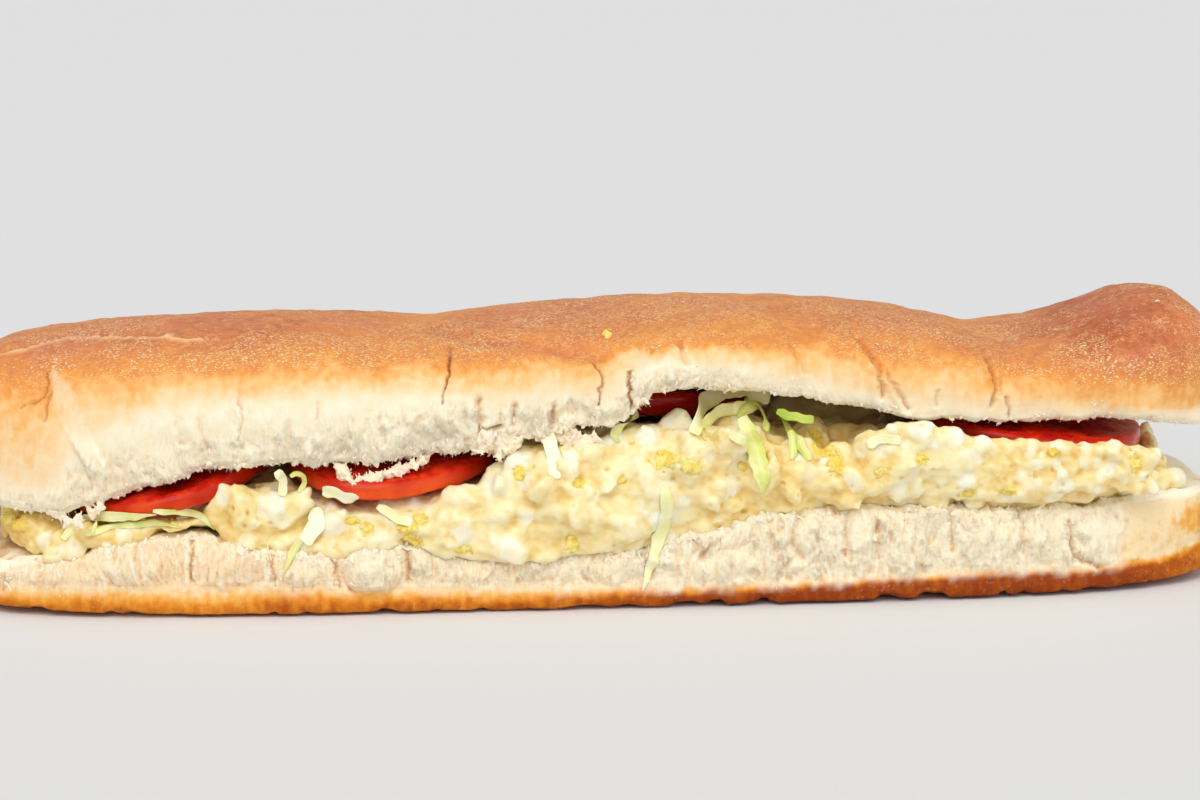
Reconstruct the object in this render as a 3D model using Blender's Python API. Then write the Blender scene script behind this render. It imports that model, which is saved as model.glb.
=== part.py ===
"""Egg salad sandwich: a long soft roll cut along its side, with egg salad, tomato and shredded lettuce.

Metres, +Z up. The roll lies along X and its torn front faces -Y. The origin is on the surface that the
sandwich stands on, below the middle of the roll. Tables are in millimetres, as (x along the roll, value).
"""

import math
import random

import bmesh
import bpy
from mathutils import Euler, Matrix, Vector, noise
from mathutils.bvhtree import BVHTree

MM = 0.001

# The roll
ROLL_LEFT = -155.5
ROLL_RIGHT = 156.5
ROLL_HALF_WIDTH = 40.0
PLAN_ROUNDNESS = 4.2
HEIGHT_ROUNDNESS = 5.0
TOP_TIPS = (34.0, 46.5)
BASE_TIPS = (11.5, 17.0)
END_LIFT = 9.0
# The middle of the underside is left flat until the ends' lift would pass this share of it.
FLAT_UNTIL = 0.012
STATIONS = 74
LAST_STATION = 0.965
END_RINGS = (0.981, 0.991, 0.9975)
# The front lip of the top half steps up here, where a flap of crumb has torn away.
NOTCH = (9.4, 12.2)

# Top half: crest, the ragged lips along front and back, and how far the front leans in
CREST = (
    (-155, 67.4), (-123, 66.3), (-84, 65.9), (-41, 64.6), (-7, 66.2), (22, 67.7), (53, 66.9), (76, 64.8),
    (90, 62.0), (98, 60.4), (113, 61.7), (124, 66.0), (136, 72.6), (146, 75.2), (156, 71.0),
)
CREST_Y = ((-152, 0), (-90, -2), (-30, 3), (20, 5), (60, 0), (154, 0))
TOP_LIP = (
    (-152, 22.6), (-137, 21.8), (-126, 21.4), (-114, 25.4), (-100, 30.6), (-84, 35.4), (-56, 35.2),
    (-28, 38.7), (0, 43.0), (9.4, 46.0), (12.2, 52.6), (38, 51.2), (71, 45.2), (110, 42.0), (130, 40.0),
    (154, 35.5),
)
TOP_BACK_LIP = ((-152, 27), (-100, 29), (-40, 32), (10, 36), (70, 36), (154, 33))
LIP_TUCK = 2.5
UNDERSIDE_ARCH = 2.2
SHOULDER = 0.62
FRONT_POINTS = 7
BACK_POINTS = 5
LIP_CROWDING = 1.8
UNDER_POINTS = 7

# Soft folds pressed into the top half: (x, y, reach along x, reach along y, depth)
FOLDS = (
    (-38, 8, 9, 22, 2.2),
    (-16, -14, 10, 9, 1.6),
    (4, -28, 9, 8, 1.5),
    (76, -34, 5, 14, 1.4),
    (98, -30, 6, 16, 1.5),
    (-118, -34, 5, 12, 1.0),
)

# Bottom half
BASE_LIP = (
    (-152, 11.8), (-137, 12.2), (-126, 14.0), (-112, 18.4), (-96, 20.2), (-80, 17.0), (-64, 14.5),
    (-50, 17.0), (-30, 15.0), (10, 15.5), (24, 18.5), (40, 23.2), (76, 24.0), (111, 22.2), (132, 24.0),
    (154, 26.5),
)
BASE_BACK_LIP = ((-152, 17), (-90, 18), (0, 20), (80, 22), (154, 24))
CRUST_HEIGHT = 6.5
CRUST_BULGE = 1.2
BASE_CORNER = 0.6
TROUGH = 2.5
FACE_POINTS = (6, 4)
FLOOR_POINTS = 2
TROUGH_POINTS = 4

# Torn crumb
CRUMB_REACH = 17.0
CRAG_SIZE = 5.5
CRAG_DEPTH = 2.6
LUMP_SIZE = 26.0
LUMP_DEPTH = 0.7
LIP_TEARS = 2.2

# Tomato slices: name, centre x, y, top z there, radius, thickness, slope along x, along y, droop in front
TOMATOES = (
    ("tomato_1", -101.0, -13.0, 30.4, 24.5, 5.2, 0.22, 0.0, 0.8),
    ("tomato_2", -48.5, -14.0, 34.4, 26.0, 5.4, 0.04, -0.02, 1.5),
    ("tomato_3", 14.5, 1.0, 44.6, 27.5, 6.5, -0.02, -0.20, 0.0),
    ("tomato_4", 107.0, -5.5, 39.8, 32.0, 5.8, -0.12, 0.0, 0.2),
)
TOMATO_SIDES = 26
DROOP_FROM = -25.0
SKIN_ROUND = 1.0
TOMATO_WOBBLE = 0.03
BREAD_OVER_TOMATO = 1.1
PRESS_REACH = 9.0

# Egg salad: its upper edge in front, how far it bulges, and how far it spills down over the bottom lip
EGG_TOP = (
    (-150, 22.0), (-126, 21.5), (-112, 24.6), (-96, 27.0), (-80, 32.0), (-62, 27.0), (-42, 27.0),
    (-24, 36.0), (-4, 40.5), (14, 43.5), (44, 42.5), (58, 40.0), (74, 41.0), (88, 36.0), (130, 34.5),
    (150, 33.0),
)
EGG_FRONT = (
    (-150, 36.0), (-110, 37.0), (-60, 38.5), (-44, 40.5), (-20, 42.0), (4, 41.0),
    (26, 40.0), (60, 39.5), (110, 39.0), (150, 37.0),
)
EGG_SPILL = ((-62, 0), (-44, 2.5), (-18, 5.5), (2, 4.0), (16, 1.0), (26, 0))
EGG_BACK = 38.5
FULL_FROM = -22.0
EGG_LEFT = -144.0
EGG_RIGHT = 143.0
EGG_STATIONS = 72
EGG_SQUARENESS = 5.0
FACE_REACH = 62
FACE_STEPS = 9
HIDDEN_STEPS = 6
LUMP_ACROSS = 7.5
LUMP_RELIEF = 6.0
CHUNK_SIZE = (3.4, 5.4)
CHUNKS = 26
CHUNK_SEED = 11
EGG_GRAIN = 1.0
EGG_TRIANGLES = 2800

# Lettuce: shreds over the salad, each (width, then places along it as (x, z)), gathered on a knot
SHREDS_LEFT = (
    (3.0, ((-70, 27), (-80, 24), (-92, 23), (-104, 21), (-118, 20), (-128, 19))),
    (2.6, ((-69, 27), (-66, 22), (-70, 17), (-73, 11))),
    (2.6, ((-71, 27), (-64, 24), (-58, 21), (-50, 20))),
    (2.4, ((-71, 27), (-78, 21), (-84, 18), (-90, 18))),
)
SHREDS_MIDDLE = (
    (3.6, ((37, 43), (38.5, 38), (39, 32), (37.5, 27))),
    (3.4, ((36, 44), (30, 46), (24, 44.5), (18, 43.5))),
    (3.0, ((37, 44), (44, 42), (49, 39), (50, 35))),
    (3.2, ((38, 44), (48, 44), (58, 42.5), (68, 43))),
)
SHREDS_BACK = (
    (3.4, ((-6, 30), (-16, 27), (-26, 28), (-36, 26))),
    (3.0, ((-5, 30), (-2, 24), (-4, 18), (0, 13))),
    (3.6, ((-6, 30), (6, 31), (16, 29), (28, 31))),
)
# Shreds that hang alone: name, side, width, places
LONE_SHREDS = (
    ("lettuce_strip_1", -1, 4.2, ((15, 33), (15.5, 26), (14, 19), (11.5, 12.5), (9.5, 7.5))),
    ("lettuce_strip_2", -1, 4.6, ((-12.5, 38.5), (-13, 34), (-12, 29.5), (-11.5, 26))),
    ("lettuce_strip_3", 1, 4.0, ((74, 33), (75, 27), (73, 20), (75, 14))),
)
SHRED_THICK = 0.8
SHRED_STEPS = 7
SHRED_WAVE = 0.5
SHRED_CLEAR = 0.8
KNOT_SIZE = 2.1
STAGGER = 0.17
FIT_GAP = 0.45
MOST_GROWTH = 2.5
MERGED = 0.00001


def along(table, x):
    """The table's value at x, on a smooth curve through its points."""
    if x <= table[0][0]:
        return table[0][1]
    if x >= table[-1][0]:
        return table[-1][1]
    k = max(i for i in range(len(table) - 1) if table[i][0] <= x)
    (x0, v0), (x1, v1) = table[k], table[k + 1]
    before = table[max(k - 1, 0)]
    after = table[min(k + 2, len(table) - 1)]
    slope0 = (v1 - before[1]) / (x1 - before[0])
    slope1 = (after[1] - v0) / (after[0] - x0)
    if (v1 - v0) * (v0 - before[1]) <= 0:
        slope0 = 0.0
    if (after[1] - v1) * (v1 - v0) <= 0:
        slope1 = 0.0
    wide = x1 - x0
    t = (x - x0) / wide
    return (
        v0 * (1 + 2 * t) * (1 - t) ** 2
        + v1 * t * t * (3 - 2 * t)
        + slope0 * wide * t * (1 - t) ** 2
        - slope1 * wide * t * t * (1 - t)
    )


def end_share(x, roundness):
    """1 in the middle of the roll, falling to 0 at its rounded ends."""
    reach = ROLL_RIGHT if x > 0 else ROLL_LEFT
    return (1 - min(1.0, abs(x / reach)) ** roundness) ** (1 / roundness)


def half_width(x):
    return ROLL_HALF_WIDTH * end_share(x, PLAN_ROUNDNESS)


def drawn_to_end(x, z, tips):
    """z drawn towards the height of a half's tip as x nears the end of the roll."""
    tip = tips[1] if x > 0 else tips[0]
    return tip + (z - tip) * end_share(x, HEIGHT_ROUNDNESS)


def stations(low, high, count):
    """Evenly spaced places along X, with a few more where both ends round off."""
    middle, half = (low + high) / 2, (high - low) / 2
    shares = [LAST_STATION * (2 * k / (count - 1) - 1) for k in range(count)]
    shares = [-ring for ring in reversed(END_RINGS)] + shares + list(END_RINGS)
    return [middle + half * share for share in shares]


def ripple(x, y, z, size):
    """Smooth noise from -1 to 1 whose bumps are about size across."""
    return noise.noise(Vector((x, y, z)) / size)


def crags(point, share):
    """How far the torn crumb stands proud at a point. share is 1 in open crumb and 0 on crust."""
    x, y, z = point
    deep = ripple(x, y, z * 0.45, CRAG_SIZE) + 0.5 * ripple(x + 40, y, z, CRAG_SIZE * 0.5)
    return CRAG_DEPTH * deep * share


def tomato_top(tomato, x, y):
    """Height of a slice's upper face at a place. Its front end droops over the salad."""
    _, centre_x, centre_y, top, _, _, slope_x, slope_y, droop = tomato
    hanging = max(0.0, DROOP_FROM - y) / 10
    return top + slope_x * (x - centre_x) + slope_y * (y - centre_y) - droop * hanging**2


def top_underside(x, y):
    """Height of the top half's lower face, which is pressed up over the tomato slices."""
    wide = max(half_width(x) - LIP_TUCK, 1.0)
    share = max(-1.0, min(1.0, y / wide))
    front = drawn_to_end(x, along(TOP_LIP, x), TOP_TIPS)
    back = drawn_to_end(x, along(TOP_BACK_LIP, x), TOP_TIPS)
    height = front + (back - front) * (share + 1) / 2
    height += UNDERSIDE_ARCH * (1 - share * share) * end_share(x, 4)
    lift = 0.0
    for tomato in TOMATOES:
        beyond = math.hypot(x - tomato[1], y - tomato[2]) - tomato[4]
        near = max(0.0, min(1.0, (PRESS_REACH - beyond) / 4))
        clear = tomato_top(tomato, x, y) + BREAD_OVER_TOMATO - height
        lift = max(lift, clear * near * near * (3 - 2 * near))
    return height + lift


def base_upper(x, y):
    """Height of the bottom half's upper face, a shallow trough."""
    wide = max(half_width(x), 1.0)
    share = max(-1.0, min(1.0, y / wide))
    front = drawn_to_end(x, along(BASE_LIP, x), BASE_TIPS)
    back = drawn_to_end(x, along(BASE_BACK_LIP, x), BASE_TIPS)
    return front + (back - front) * (share + 1) / 2 - TROUGH * (1 - share * share) * end_share(x, 4)


def pressed(x, y):
    """How far the soft folds push the crust in at a place."""
    total = 0.0
    for fold_x, fold_y, reach_x, reach_y, depth in FOLDS:
        total += depth * math.exp(-(((x - fold_x) / reach_x) ** 2) - ((y - fold_y) / reach_y) ** 2)
    return total


def ragged(x, row):
    """How far a torn lip's edge hangs down or stands up at x."""
    return LIP_TEARS * (ripple(x, row, 3, 4.2) + 0.7 * ripple(x, row, 9, 11)) * end_share(x, 4)


def top_section(x):
    """Closed outline of the top half at x: from the front lip over the crest, then along the underside."""
    wide = half_width(x)
    crest_y = along(CREST_Y, x) * end_share(x, 4)
    crest_z = drawn_to_end(x, along(CREST, x), TOP_TIPS)
    quarter = math.pi / 2
    front_turns = [quarter * (k / FRONT_POINTS) ** LIP_CROWDING for k in range(FRONT_POINTS)]
    back_turns = [math.pi - quarter * (k / BACK_POINTS) ** LIP_CROWDING for k in range(BACK_POINTS, -1, -1)]
    outline = []
    for turn in front_turns + back_turns:
        side = -1 if turn < quarter else 1
        rise = math.sin(turn)
        lean = abs(math.cos(turn))
        lip_y = side * (wide - LIP_TUCK * (1 - rise) ** 4)
        lip_z = top_underside(x, side * wide)
        y = crest_y + (lip_y - crest_y) * lean**SHOULDER
        z = lip_z + (crest_z - lip_z) * rise**SHOULDER - pressed(x, y)
        open_crumb = max(0.0, 1 - (z - lip_z) / CRUMB_REACH)
        proud = crags((x, y, z), open_crumb) + LUMP_DEPTH * ripple(x, y, z, LUMP_SIZE)
        outline.append(Vector((x, y + side * proud * lean, z + proud * rise)))
    outline[0].z += ragged(x, -1)
    outline[-1].z += ragged(x, 1)
    lip_wide = wide - LIP_TUCK
    for k in range(1, UNDER_POINTS + 1):
        y = lip_wide * (1 - 2 * k / (UNDER_POINTS + 1))
        outline.append(Vector((x, y, top_underside(x, y) + 0.3 * ripple(x, y, 0, 7))))
    return outline


def base_face(x, side, wide, lifted):
    """Points of the bottom half from its lip to the floor, on the front (side -1) or the back (side 1)."""
    lip_z = base_upper(x, side * wide)
    crust_z = CRUST_HEIGHT + lifted
    count = FACE_POINTS[0] if side < 0 else FACE_POINTS[1]
    points = []
    for k in range(count):
        share = k / (count - 1)
        bulge = 1.2 * math.sin(math.pi * share) + 1.2 * share - 1.6
        point = Vector((x, side * (wide + bulge), lip_z + (crust_z - lip_z) * share))
        point.y += side * crags(point, 1.0 - 0.8 * share)
        points.append(point)
    points[0].z += ragged(x, 3 * side)
    points.append(Vector((x, side * (wide + CRUST_BULGE), lifted + 0.45 * CRUST_HEIGHT)))
    points.append(Vector((x, side * (wide + 0.5 * CRUST_BULGE), lifted + 0.7)))
    return points


def base_section(x):
    """Closed outline of the bottom half at x: down the front, under, up the back and over the trough."""
    wide = half_width(x)
    lifted = END_LIFT * max(0.0, 1 - end_share(x, HEIGHT_ROUNDNESS) - FLAT_UNTIL)
    outline = base_face(x, -1, wide, lifted)
    corner = max(wide - BASE_CORNER, 0.3 * wide)
    for k in range(FLOOR_POINTS):
        outline.append(Vector((x, -corner + 2 * corner * k / (FLOOR_POINTS - 1), lifted)))
    outline += reversed(base_face(x, 1, wide, lifted))
    for k in range(1, TROUGH_POINTS + 1):
        y = wide * (1 - 2 * k / (TROUGH_POINTS + 1))
        outline.append(Vector((x, y, base_upper(x, y) + 0.4 * ripple(x, y, 40, 7))))
    return outline


def new_object(name, bm, material=None):
    """An object that takes bm's mesh, given in millimetres."""
    bmesh.ops.scale(bm, vec=(MM, MM, MM), verts=bm.verts)
    bmesh.ops.recalc_face_normals(bm, faces=bm.faces)
    mesh = bpy.data.meshes.new(name)
    bm.to_mesh(mesh)
    bm.free()
    obj = bpy.data.objects.new(name, mesh)
    bpy.context.scene.collection.objects.link(obj)
    if material:
        mesh.materials.append(material)
    return obj


def loft(sections, tips):
    """A closed bmesh through the sections, each a ring of points, closed at both ends on the tip points."""
    bm = bmesh.new()
    rings = [[bm.verts.new(point) for point in section] for section in sections]
    for ring, following in zip(rings, rings[1:]):
        for k, vert in enumerate(ring):
            after = (k + 1) % len(ring)
            bm.faces.new((vert, ring[after], following[after], following[k]))
    for ring, tip in ((rings[0], tips[0]), (rings[-1], tips[1])):
        pole = bm.verts.new(tip)
        for k, vert in enumerate(ring):
            bm.faces.new((vert, ring[(k + 1) % len(ring)], pole))
    bmesh.ops.triangulate(bm, faces=bm.faces, quad_method="FIXED")
    return bm


def finish(name, colour, roughness):
    """A plain material in the colour of the photographed food."""
    material = bpy.data.materials.new(name)
    material.use_nodes = True
    shader = material.node_tree.nodes["Principled BSDF"]
    shader.inputs["Base Color"].default_value = (*colour, 1)
    shader.inputs["Roughness"].default_value = roughness
    shader.inputs["Metallic"].default_value = 0.0
    return material


def middle_of(ring):
    return sum(ring, Vector()) / len(ring)


def smooth(obj, angle=50):
    obj.data.shade_smooth()
    obj.data.set_sharp_from_angle(angle=math.radians(angle))


def make_bread(name, section, material):
    places = stations(ROLL_LEFT, ROLL_RIGHT, STATIONS)
    for edge in NOTCH:
        nearest = min(range(len(places)), key=lambda k: abs(places[k] - edge))
        places[nearest] = edge
    rings = [section(x) for x in places]
    tips = []
    for ring, end in ((rings[0], ROLL_LEFT), (rings[-1], ROLL_RIGHT)):
        tip = middle_of(ring)
        tip.x = end
        tips.append(tip)
    obj = new_object(name, loft(rings, tips), material)
    smooth(obj)
    return obj


def make_tomato(tomato, material):
    """A slice: two cut faces with a rounded skin between them, a little out of round."""
    name, centre_x, centre_y, _, radius, thick, _, _, _ = tomato
    rows = (
        (0.6 * radius, 0.0),
        (radius - SKIN_ROUND - 0.5, 0.0),
        (radius - 0.25, -0.25 * thick),
        (radius, -0.55 * thick),
        (radius - SKIN_ROUND, -thick),
        (0.6 * radius, -thick),
    )
    rings = []
    for reach, drop in rows:
        ring = []
        for k in range(TOMATO_SIDES):
            turn = 2 * math.pi * k / TOMATO_SIDES
            out_of_round = 1 + TOMATO_WOBBLE * (math.sin(3 * turn + centre_x) + 0.5 * math.sin(5 * turn))
            x = centre_x + reach * out_of_round * math.cos(turn)
            y = centre_y + reach * out_of_round * math.sin(turn)
            ring.append(Vector((x, y, tomato_top(tomato, x, y) + drop)))
        rings.append(ring)
    top = tomato_top(tomato, centre_x, centre_y)
    tips = (Vector((centre_x, centre_y, top)), Vector((centre_x, centre_y, top - thick)))
    obj = new_object(name, loft(rings, tips), material)
    smooth(obj, 40)
    return obj


def grown(obj, gap):
    """A hidden cutter: obj with its surface moved out by the gap."""
    cutter = obj.copy()
    cutter.data = obj.data.copy()
    cutter.name = obj.name + "_cutter"
    bpy.context.scene.collection.objects.link(cutter)
    bm = bmesh.new()
    bm.from_mesh(cutter.data)
    bm.normal_update()
    moves = []
    for vert in bm.verts:
        moves.append((vert, vert.co + vert.normal * gap * MM * min(vert.calc_shell_factor(), MOST_GROWTH)))
    for vert, place in moves:
        vert.co = place
    bm.to_mesh(cutter.data)
    bm.free()
    cutter.hide_render = True
    cutter.display_type = "WIRE"
    return cutter


def apply_modifiers(obj):
    """Gives obj the mesh that its modifiers make."""
    bpy.context.view_layer.update()
    graph = bpy.context.evaluated_depsgraph_get()
    made = bpy.data.meshes.new_from_object(obj.evaluated_get(graph))
    obj.modifiers.clear()
    obj.data = made


def apply_boolean(obj, others, operation, solver):
    """Joins others to obj, or cuts them from it, in one Boolean, and removes them."""
    group = bpy.data.collections.new(obj.name + "_others")
    bpy.context.scene.collection.children.link(group)
    for other in others:
        bpy.context.scene.collection.objects.unlink(other)
        group.objects.link(other)
    modifier = obj.modifiers.new("Boolean", "BOOLEAN")
    modifier.operation = operation
    modifier.operand_type = "COLLECTION"
    modifier.collection = group
    modifier.solver = solver
    apply_modifiers(obj)
    for other in others:
        bpy.data.objects.remove(other)
    bpy.data.collections.remove(group)


def make_even(obj, grain, triangles):
    """Rebuilds obj's skin as one closed surface of about this many even triangles."""
    remesh = obj.modifiers.new("Remesh", "REMESH")
    remesh.mode = "VOXEL"
    remesh.voxel_size = grain * MM
    apply_modifiers(obj)
    faces = sum(len(face.vertices) - 2 for face in obj.data.polygons)
    decimate = obj.modifiers.new("Decimate", "DECIMATE")
    decimate.ratio = min(1.0, triangles / faces)
    apply_modifiers(obj)


def keep_largest(obj):
    """Drops loose scraps, so that the object is one closed body."""
    bm = bmesh.new()
    bm.from_mesh(obj.data)
    seen, islands = set(), []
    for start in bm.faces:
        if start in seen:
            continue
        island, front = [], [start]
        seen.add(start)
        while front:
            face = front.pop()
            island.append(face)
            for edge in face.edges:
                for other in edge.link_faces:
                    if other not in seen:
                        seen.add(other)
                        front.append(other)
        islands.append(island)
    islands.sort(key=lambda island: sum(face.calc_area() for face in island))
    scraps = [face for island in islands[:-1] for face in island]
    bmesh.ops.delete(bm, geom=scraps, context="FACES")
    bmesh.ops.remove_doubles(bm, verts=bm.verts, dist=MERGED)
    bmesh.ops.triangulate(bm, faces=bm.faces)
    bm.to_mesh(obj.data)
    bm.free()


def egg_ceiling(x, y):
    """The highest that the salad can reach below the bread and the tomato slices."""
    height = top_underside(x, y) - 1.2
    for tomato in TOMATOES:
        _, centre_x, centre_y, _, radius, thick, _, _, _ = tomato
        if math.hypot(x - centre_x, y - centre_y) < radius + 3.5:
            height = min(height, tomato_top(tomato, x, y) - thick - 0.9)
    return height


def lumps(point):
    """How far the diced egg under the dressing stands proud: round lumps with creases between them."""
    nearest = noise.voronoi(Vector((point.x, point.y, 1.2 * point.z)) / LUMP_ACROSS)[0][0]
    return LUMP_RELIEF * (0.45 - nearest)


def egg_point(x, turn):
    """A point of the salad: turn is 0 at the front, a quarter turn on top and half a turn at the back."""
    share = (x - EGG_LEFT) / (EGG_RIGHT - EGG_LEFT)
    close = (1 - min(1.0, abs(2 * share - 1)) ** 14) ** 0.5
    out = math.cos(turn)
    up = math.sin(turn)
    squared = (abs(out) ** EGG_SQUARENESS + abs(up) ** EGG_SQUARENESS) ** (-1 / EGG_SQUARENESS)
    reach = min(along(EGG_FRONT, x) if out > 0 else EGG_BACK, half_width(x) + 2.5) * close
    y = -out * squared * reach
    near_lip = max(0.0, abs(y) / max(reach, 1.0) - 0.8) / 0.2
    floor = base_upper(x, y) + 0.8 - 2.4 * near_lip
    filled_behind = 20 * max(0.0, min(1.0, (y - FULL_FROM) / 20))
    ceiling = max(min(egg_ceiling(x, y), along(EGG_TOP, x) + 1.0 + filled_behind), floor + 2.5)
    half = (ceiling - floor) / 2 * (0.35 + 0.65 * close)
    z = (floor + ceiling) / 2 + half * up * squared
    spilled = along(EGG_SPILL, x) * math.exp(-(((turn + 0.6) / 0.6) ** 2))
    place = Vector((x, y - 0.2 * spilled, z - spilled))
    proud = lumps(place) * abs(out) ** 0.6 * close
    return place + Vector((0, -out, max(0.0, up))) * proud


def egg_section(x):
    """Outline of the salad at x, with most of its points on the front, which shows."""
    face = [-FACE_REACH + 2 * FACE_REACH * k / FACE_STEPS for k in range(FACE_STEPS + 1)]
    hidden = [FACE_REACH + (360 - 2 * FACE_REACH) * k / HIDDEN_STEPS for k in range(1, HIDDEN_STEPS)]
    return [egg_point(x, math.radians(turn)) for turn in face + hidden]


def make_chunk(name, centre, size, random_source):
    """One diced piece that stands out of the dressing: a rounded, few-sided nugget."""
    bm = bmesh.new()
    bmesh.ops.create_cube(bm, size=1.5 * size)
    bmesh.ops.bevel(bm, geom=bm.edges, offset=0.32 * size, segments=1, affect="EDGES")
    turned = Euler([random_source.uniform(0, math.tau) for _ in range(3)]).to_matrix().to_4x4()
    stretch = Matrix.Diagonal((*[random_source.uniform(0.7, 1.3) for _ in range(3)], 1))
    bmesh.ops.transform(bm, matrix=Matrix.Translation(centre) @ turned @ stretch, verts=bm.verts)
    return new_object(name, bm)


def make_egg_salad(neighbours, material):
    """The salad: a lumpy mass with diced pieces fused on where they show, cut clear of bread and tomato."""
    places = stations(EGG_LEFT, EGG_RIGHT, EGG_STATIONS)
    rings = [egg_section(x) for x in places]
    tips = []
    for ring, end in ((rings[0], EGG_LEFT), (rings[-1], EGG_RIGHT)):
        tip = middle_of(ring)
        tip.x = end
        tips.append(tip)
    salad = new_object("egg_salad", loft(rings, tips), material)
    random_source = random.Random(CHUNK_SEED)
    chunks = []
    for k in range(CHUNKS):
        x = EGG_LEFT + (EGG_RIGHT - EGG_LEFT) * (k + random_source.random()) / CHUNKS
        size = random_source.uniform(*CHUNK_SIZE)
        centre = egg_point(x, random_source.uniform(-0.5, 0.9))
        centre.y += 0.5 * size
        chunks.append(make_chunk(f"chunk_{k}", centre, size, random_source))
    apply_boolean(salad, chunks, "UNION", "MANIFOLD")
    make_even(salad, EGG_GRAIN, EGG_TRIANGLES)
    apply_boolean(salad, [grown(other, FIT_GAP) for other in neighbours], "DIFFERENCE", "MANIFOLD")
    keep_largest(salad)
    smooth(salad, 35)
    return salad


def curve_through(places, count):
    """count + 1 points along a smooth curve through the places, which are (x, z)."""
    points = []
    last = len(places) - 1
    for k in range(count + 1):
        at = last * k / count
        i = min(int(at), last - 1)
        t = at - i
        before, start, end, after = (Vector(places[max(0, min(last, j))]) for j in (i - 1, i, i + 1, i + 2))
        out_of, into = (end - before) / 2, (after - start) / 2
        points.append(
            start * (1 + 2 * t) * (1 - t) ** 2
            + end * t * t * (3 - 2 * t)
            + out_of * t * (1 - t) ** 2
            - into * t * t * (1 - t)
        )
    return points


def surface_of(objects):
    """A search tree over the objects' faces, in millimetres."""
    points, faces = [], []
    for obj in objects:
        start = len(points)
        points += [vert.co / MM for vert in obj.data.vertices]
        faces += [[start + k for k in face.vertices] for face in obj.data.polygons]
    return BVHTree.FromPolygons(points, faces)


def outermost(tree, side, x, z, reach):
    """How far out, towards side, the food comes within reach of a place seen from the front or back."""
    found = []
    for dx in (-reach, -0.5 * reach, 0, 0.5 * reach, reach):
        for dz in (-reach, -0.5 * reach, 0, 0.5 * reach, reach):
            hit = tree.ray_cast(Vector((x + dx, side * 90, z + dz)), Vector((0, -side, 0)))[0]
            if hit:
                found.append(side * hit.y)
    return max(found) if found else 0.8 * ROLL_HALF_WIDTH


def make_shred(name, side, width, places, tree, phase, start=0.0, material=None):
    """A strip of leaf that lies on the food's front (side -1) or back (side 1): a thin wavy solid."""
    path = curve_through(places, SHRED_STEPS)
    out = [outermost(tree, side, point.x, point.y, 0.65 * width) for point in path]
    out[0] = max(out[0], start)
    last = len(path) - 1
    sections = []
    for k, point in enumerate(path):
        ahead = path[min(k + 1, last)] - path[max(k - 1, 0)]
        tapered = 0.55 + 0.45 * math.sin(math.pi * (k + 1) / (last + 2))
        across = Vector((-ahead.y, ahead.x)).normalized() * width / 2 * tapered
        eased = (out[max(k - 1, 0)] + out[k] + out[min(k + 1, last)]) / 3
        inner = max(out[k], eased) + SHRED_CLEAR
        wave = SHRED_WAVE * (1 + math.sin(1.3 * k + phase))
        outer = inner + SHRED_THICK
        ring = []
        for edge, y in (
            (-1, inner), (-1, outer), (0, outer + wave), (1, outer), (1, inner), (0, inner + wave),
        ):
            ring.append(Vector((point.x + edge * across.x, side * y, point.y + edge * across.y)))
        sections.append(ring)
    return new_object(name, loft(sections, (middle_of(sections[0]), middle_of(sections[-1]))), material)


def make_tangle(name, side, shreds, tree, material):
    """Shreds that meet in one knot, fused into one piece."""
    x, z = shreds[0][1][0]
    out = max(outermost(tree, side, *places[0], 2.5) for _, places in shreds)
    bm = bmesh.new()
    bmesh.ops.create_icosphere(bm, subdivisions=1, radius=KNOT_SIZE)
    flat = Matrix.Diagonal((1.3, 0.5, 0.9, 1))
    centre = Vector((x, side * (out + SHRED_CLEAR + 0.5 * KNOT_SIZE), z))
    bmesh.ops.transform(bm, matrix=Matrix.Translation(centre) @ flat, verts=bm.verts)
    knot = new_object(name, bm, material)
    strips = []
    for k, (width, places) in enumerate(shreds):
        strips.append(make_shred(f"{name}_{k}", side, width, places, tree, 2.1 * k, out + STAGGER * k))
    apply_boolean(knot, strips, "UNION", "MANIFOLD")
    keep_largest(knot)
    smooth(knot, 35)


def clear_scene():
    for obj in list(bpy.data.objects):
        bpy.data.objects.remove(obj)


def make_sandwich():
    clear_scene()
    crust = finish("bread", (0.80, 0.50, 0.24), 0.6)
    tomato_red = finish("tomato", (0.62, 0.05, 0.02), 0.25)
    salad_cream = finish("egg_salad", (0.90, 0.80, 0.48), 0.35)
    leaf_green = finish("lettuce", (0.62, 0.72, 0.32), 0.4)
    bread_top = make_bread("bread_top", top_section, crust)
    bread_base = make_bread("bread_bottom", base_section, crust)
    slices = [make_tomato(tomato, tomato_red) for tomato in TOMATOES]
    salad = make_egg_salad([bread_top, bread_base, *slices], salad_cream)
    food = surface_of([bread_top, bread_base, salad, *slices])
    make_tangle("lettuce_left", -1, SHREDS_LEFT, food, leaf_green)
    make_tangle("lettuce_middle", -1, SHREDS_MIDDLE, food, leaf_green)
    make_tangle("lettuce_back", 1, SHREDS_BACK, food, leaf_green)
    for k, (name, side, width, places) in enumerate(LONE_SHREDS):
        smooth(make_shred(name, side, width, places, food, 1.7 * k, material=leaf_green), 35)


make_sandwich()
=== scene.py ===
import math
import random
from contextlib import contextmanager

import bpy
import numpy as np
from mathutils import Euler, Matrix, Vector, noise
from mathutils.bvhtree import BVHTree
from mathutils.kdtree import KDTree


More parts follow.
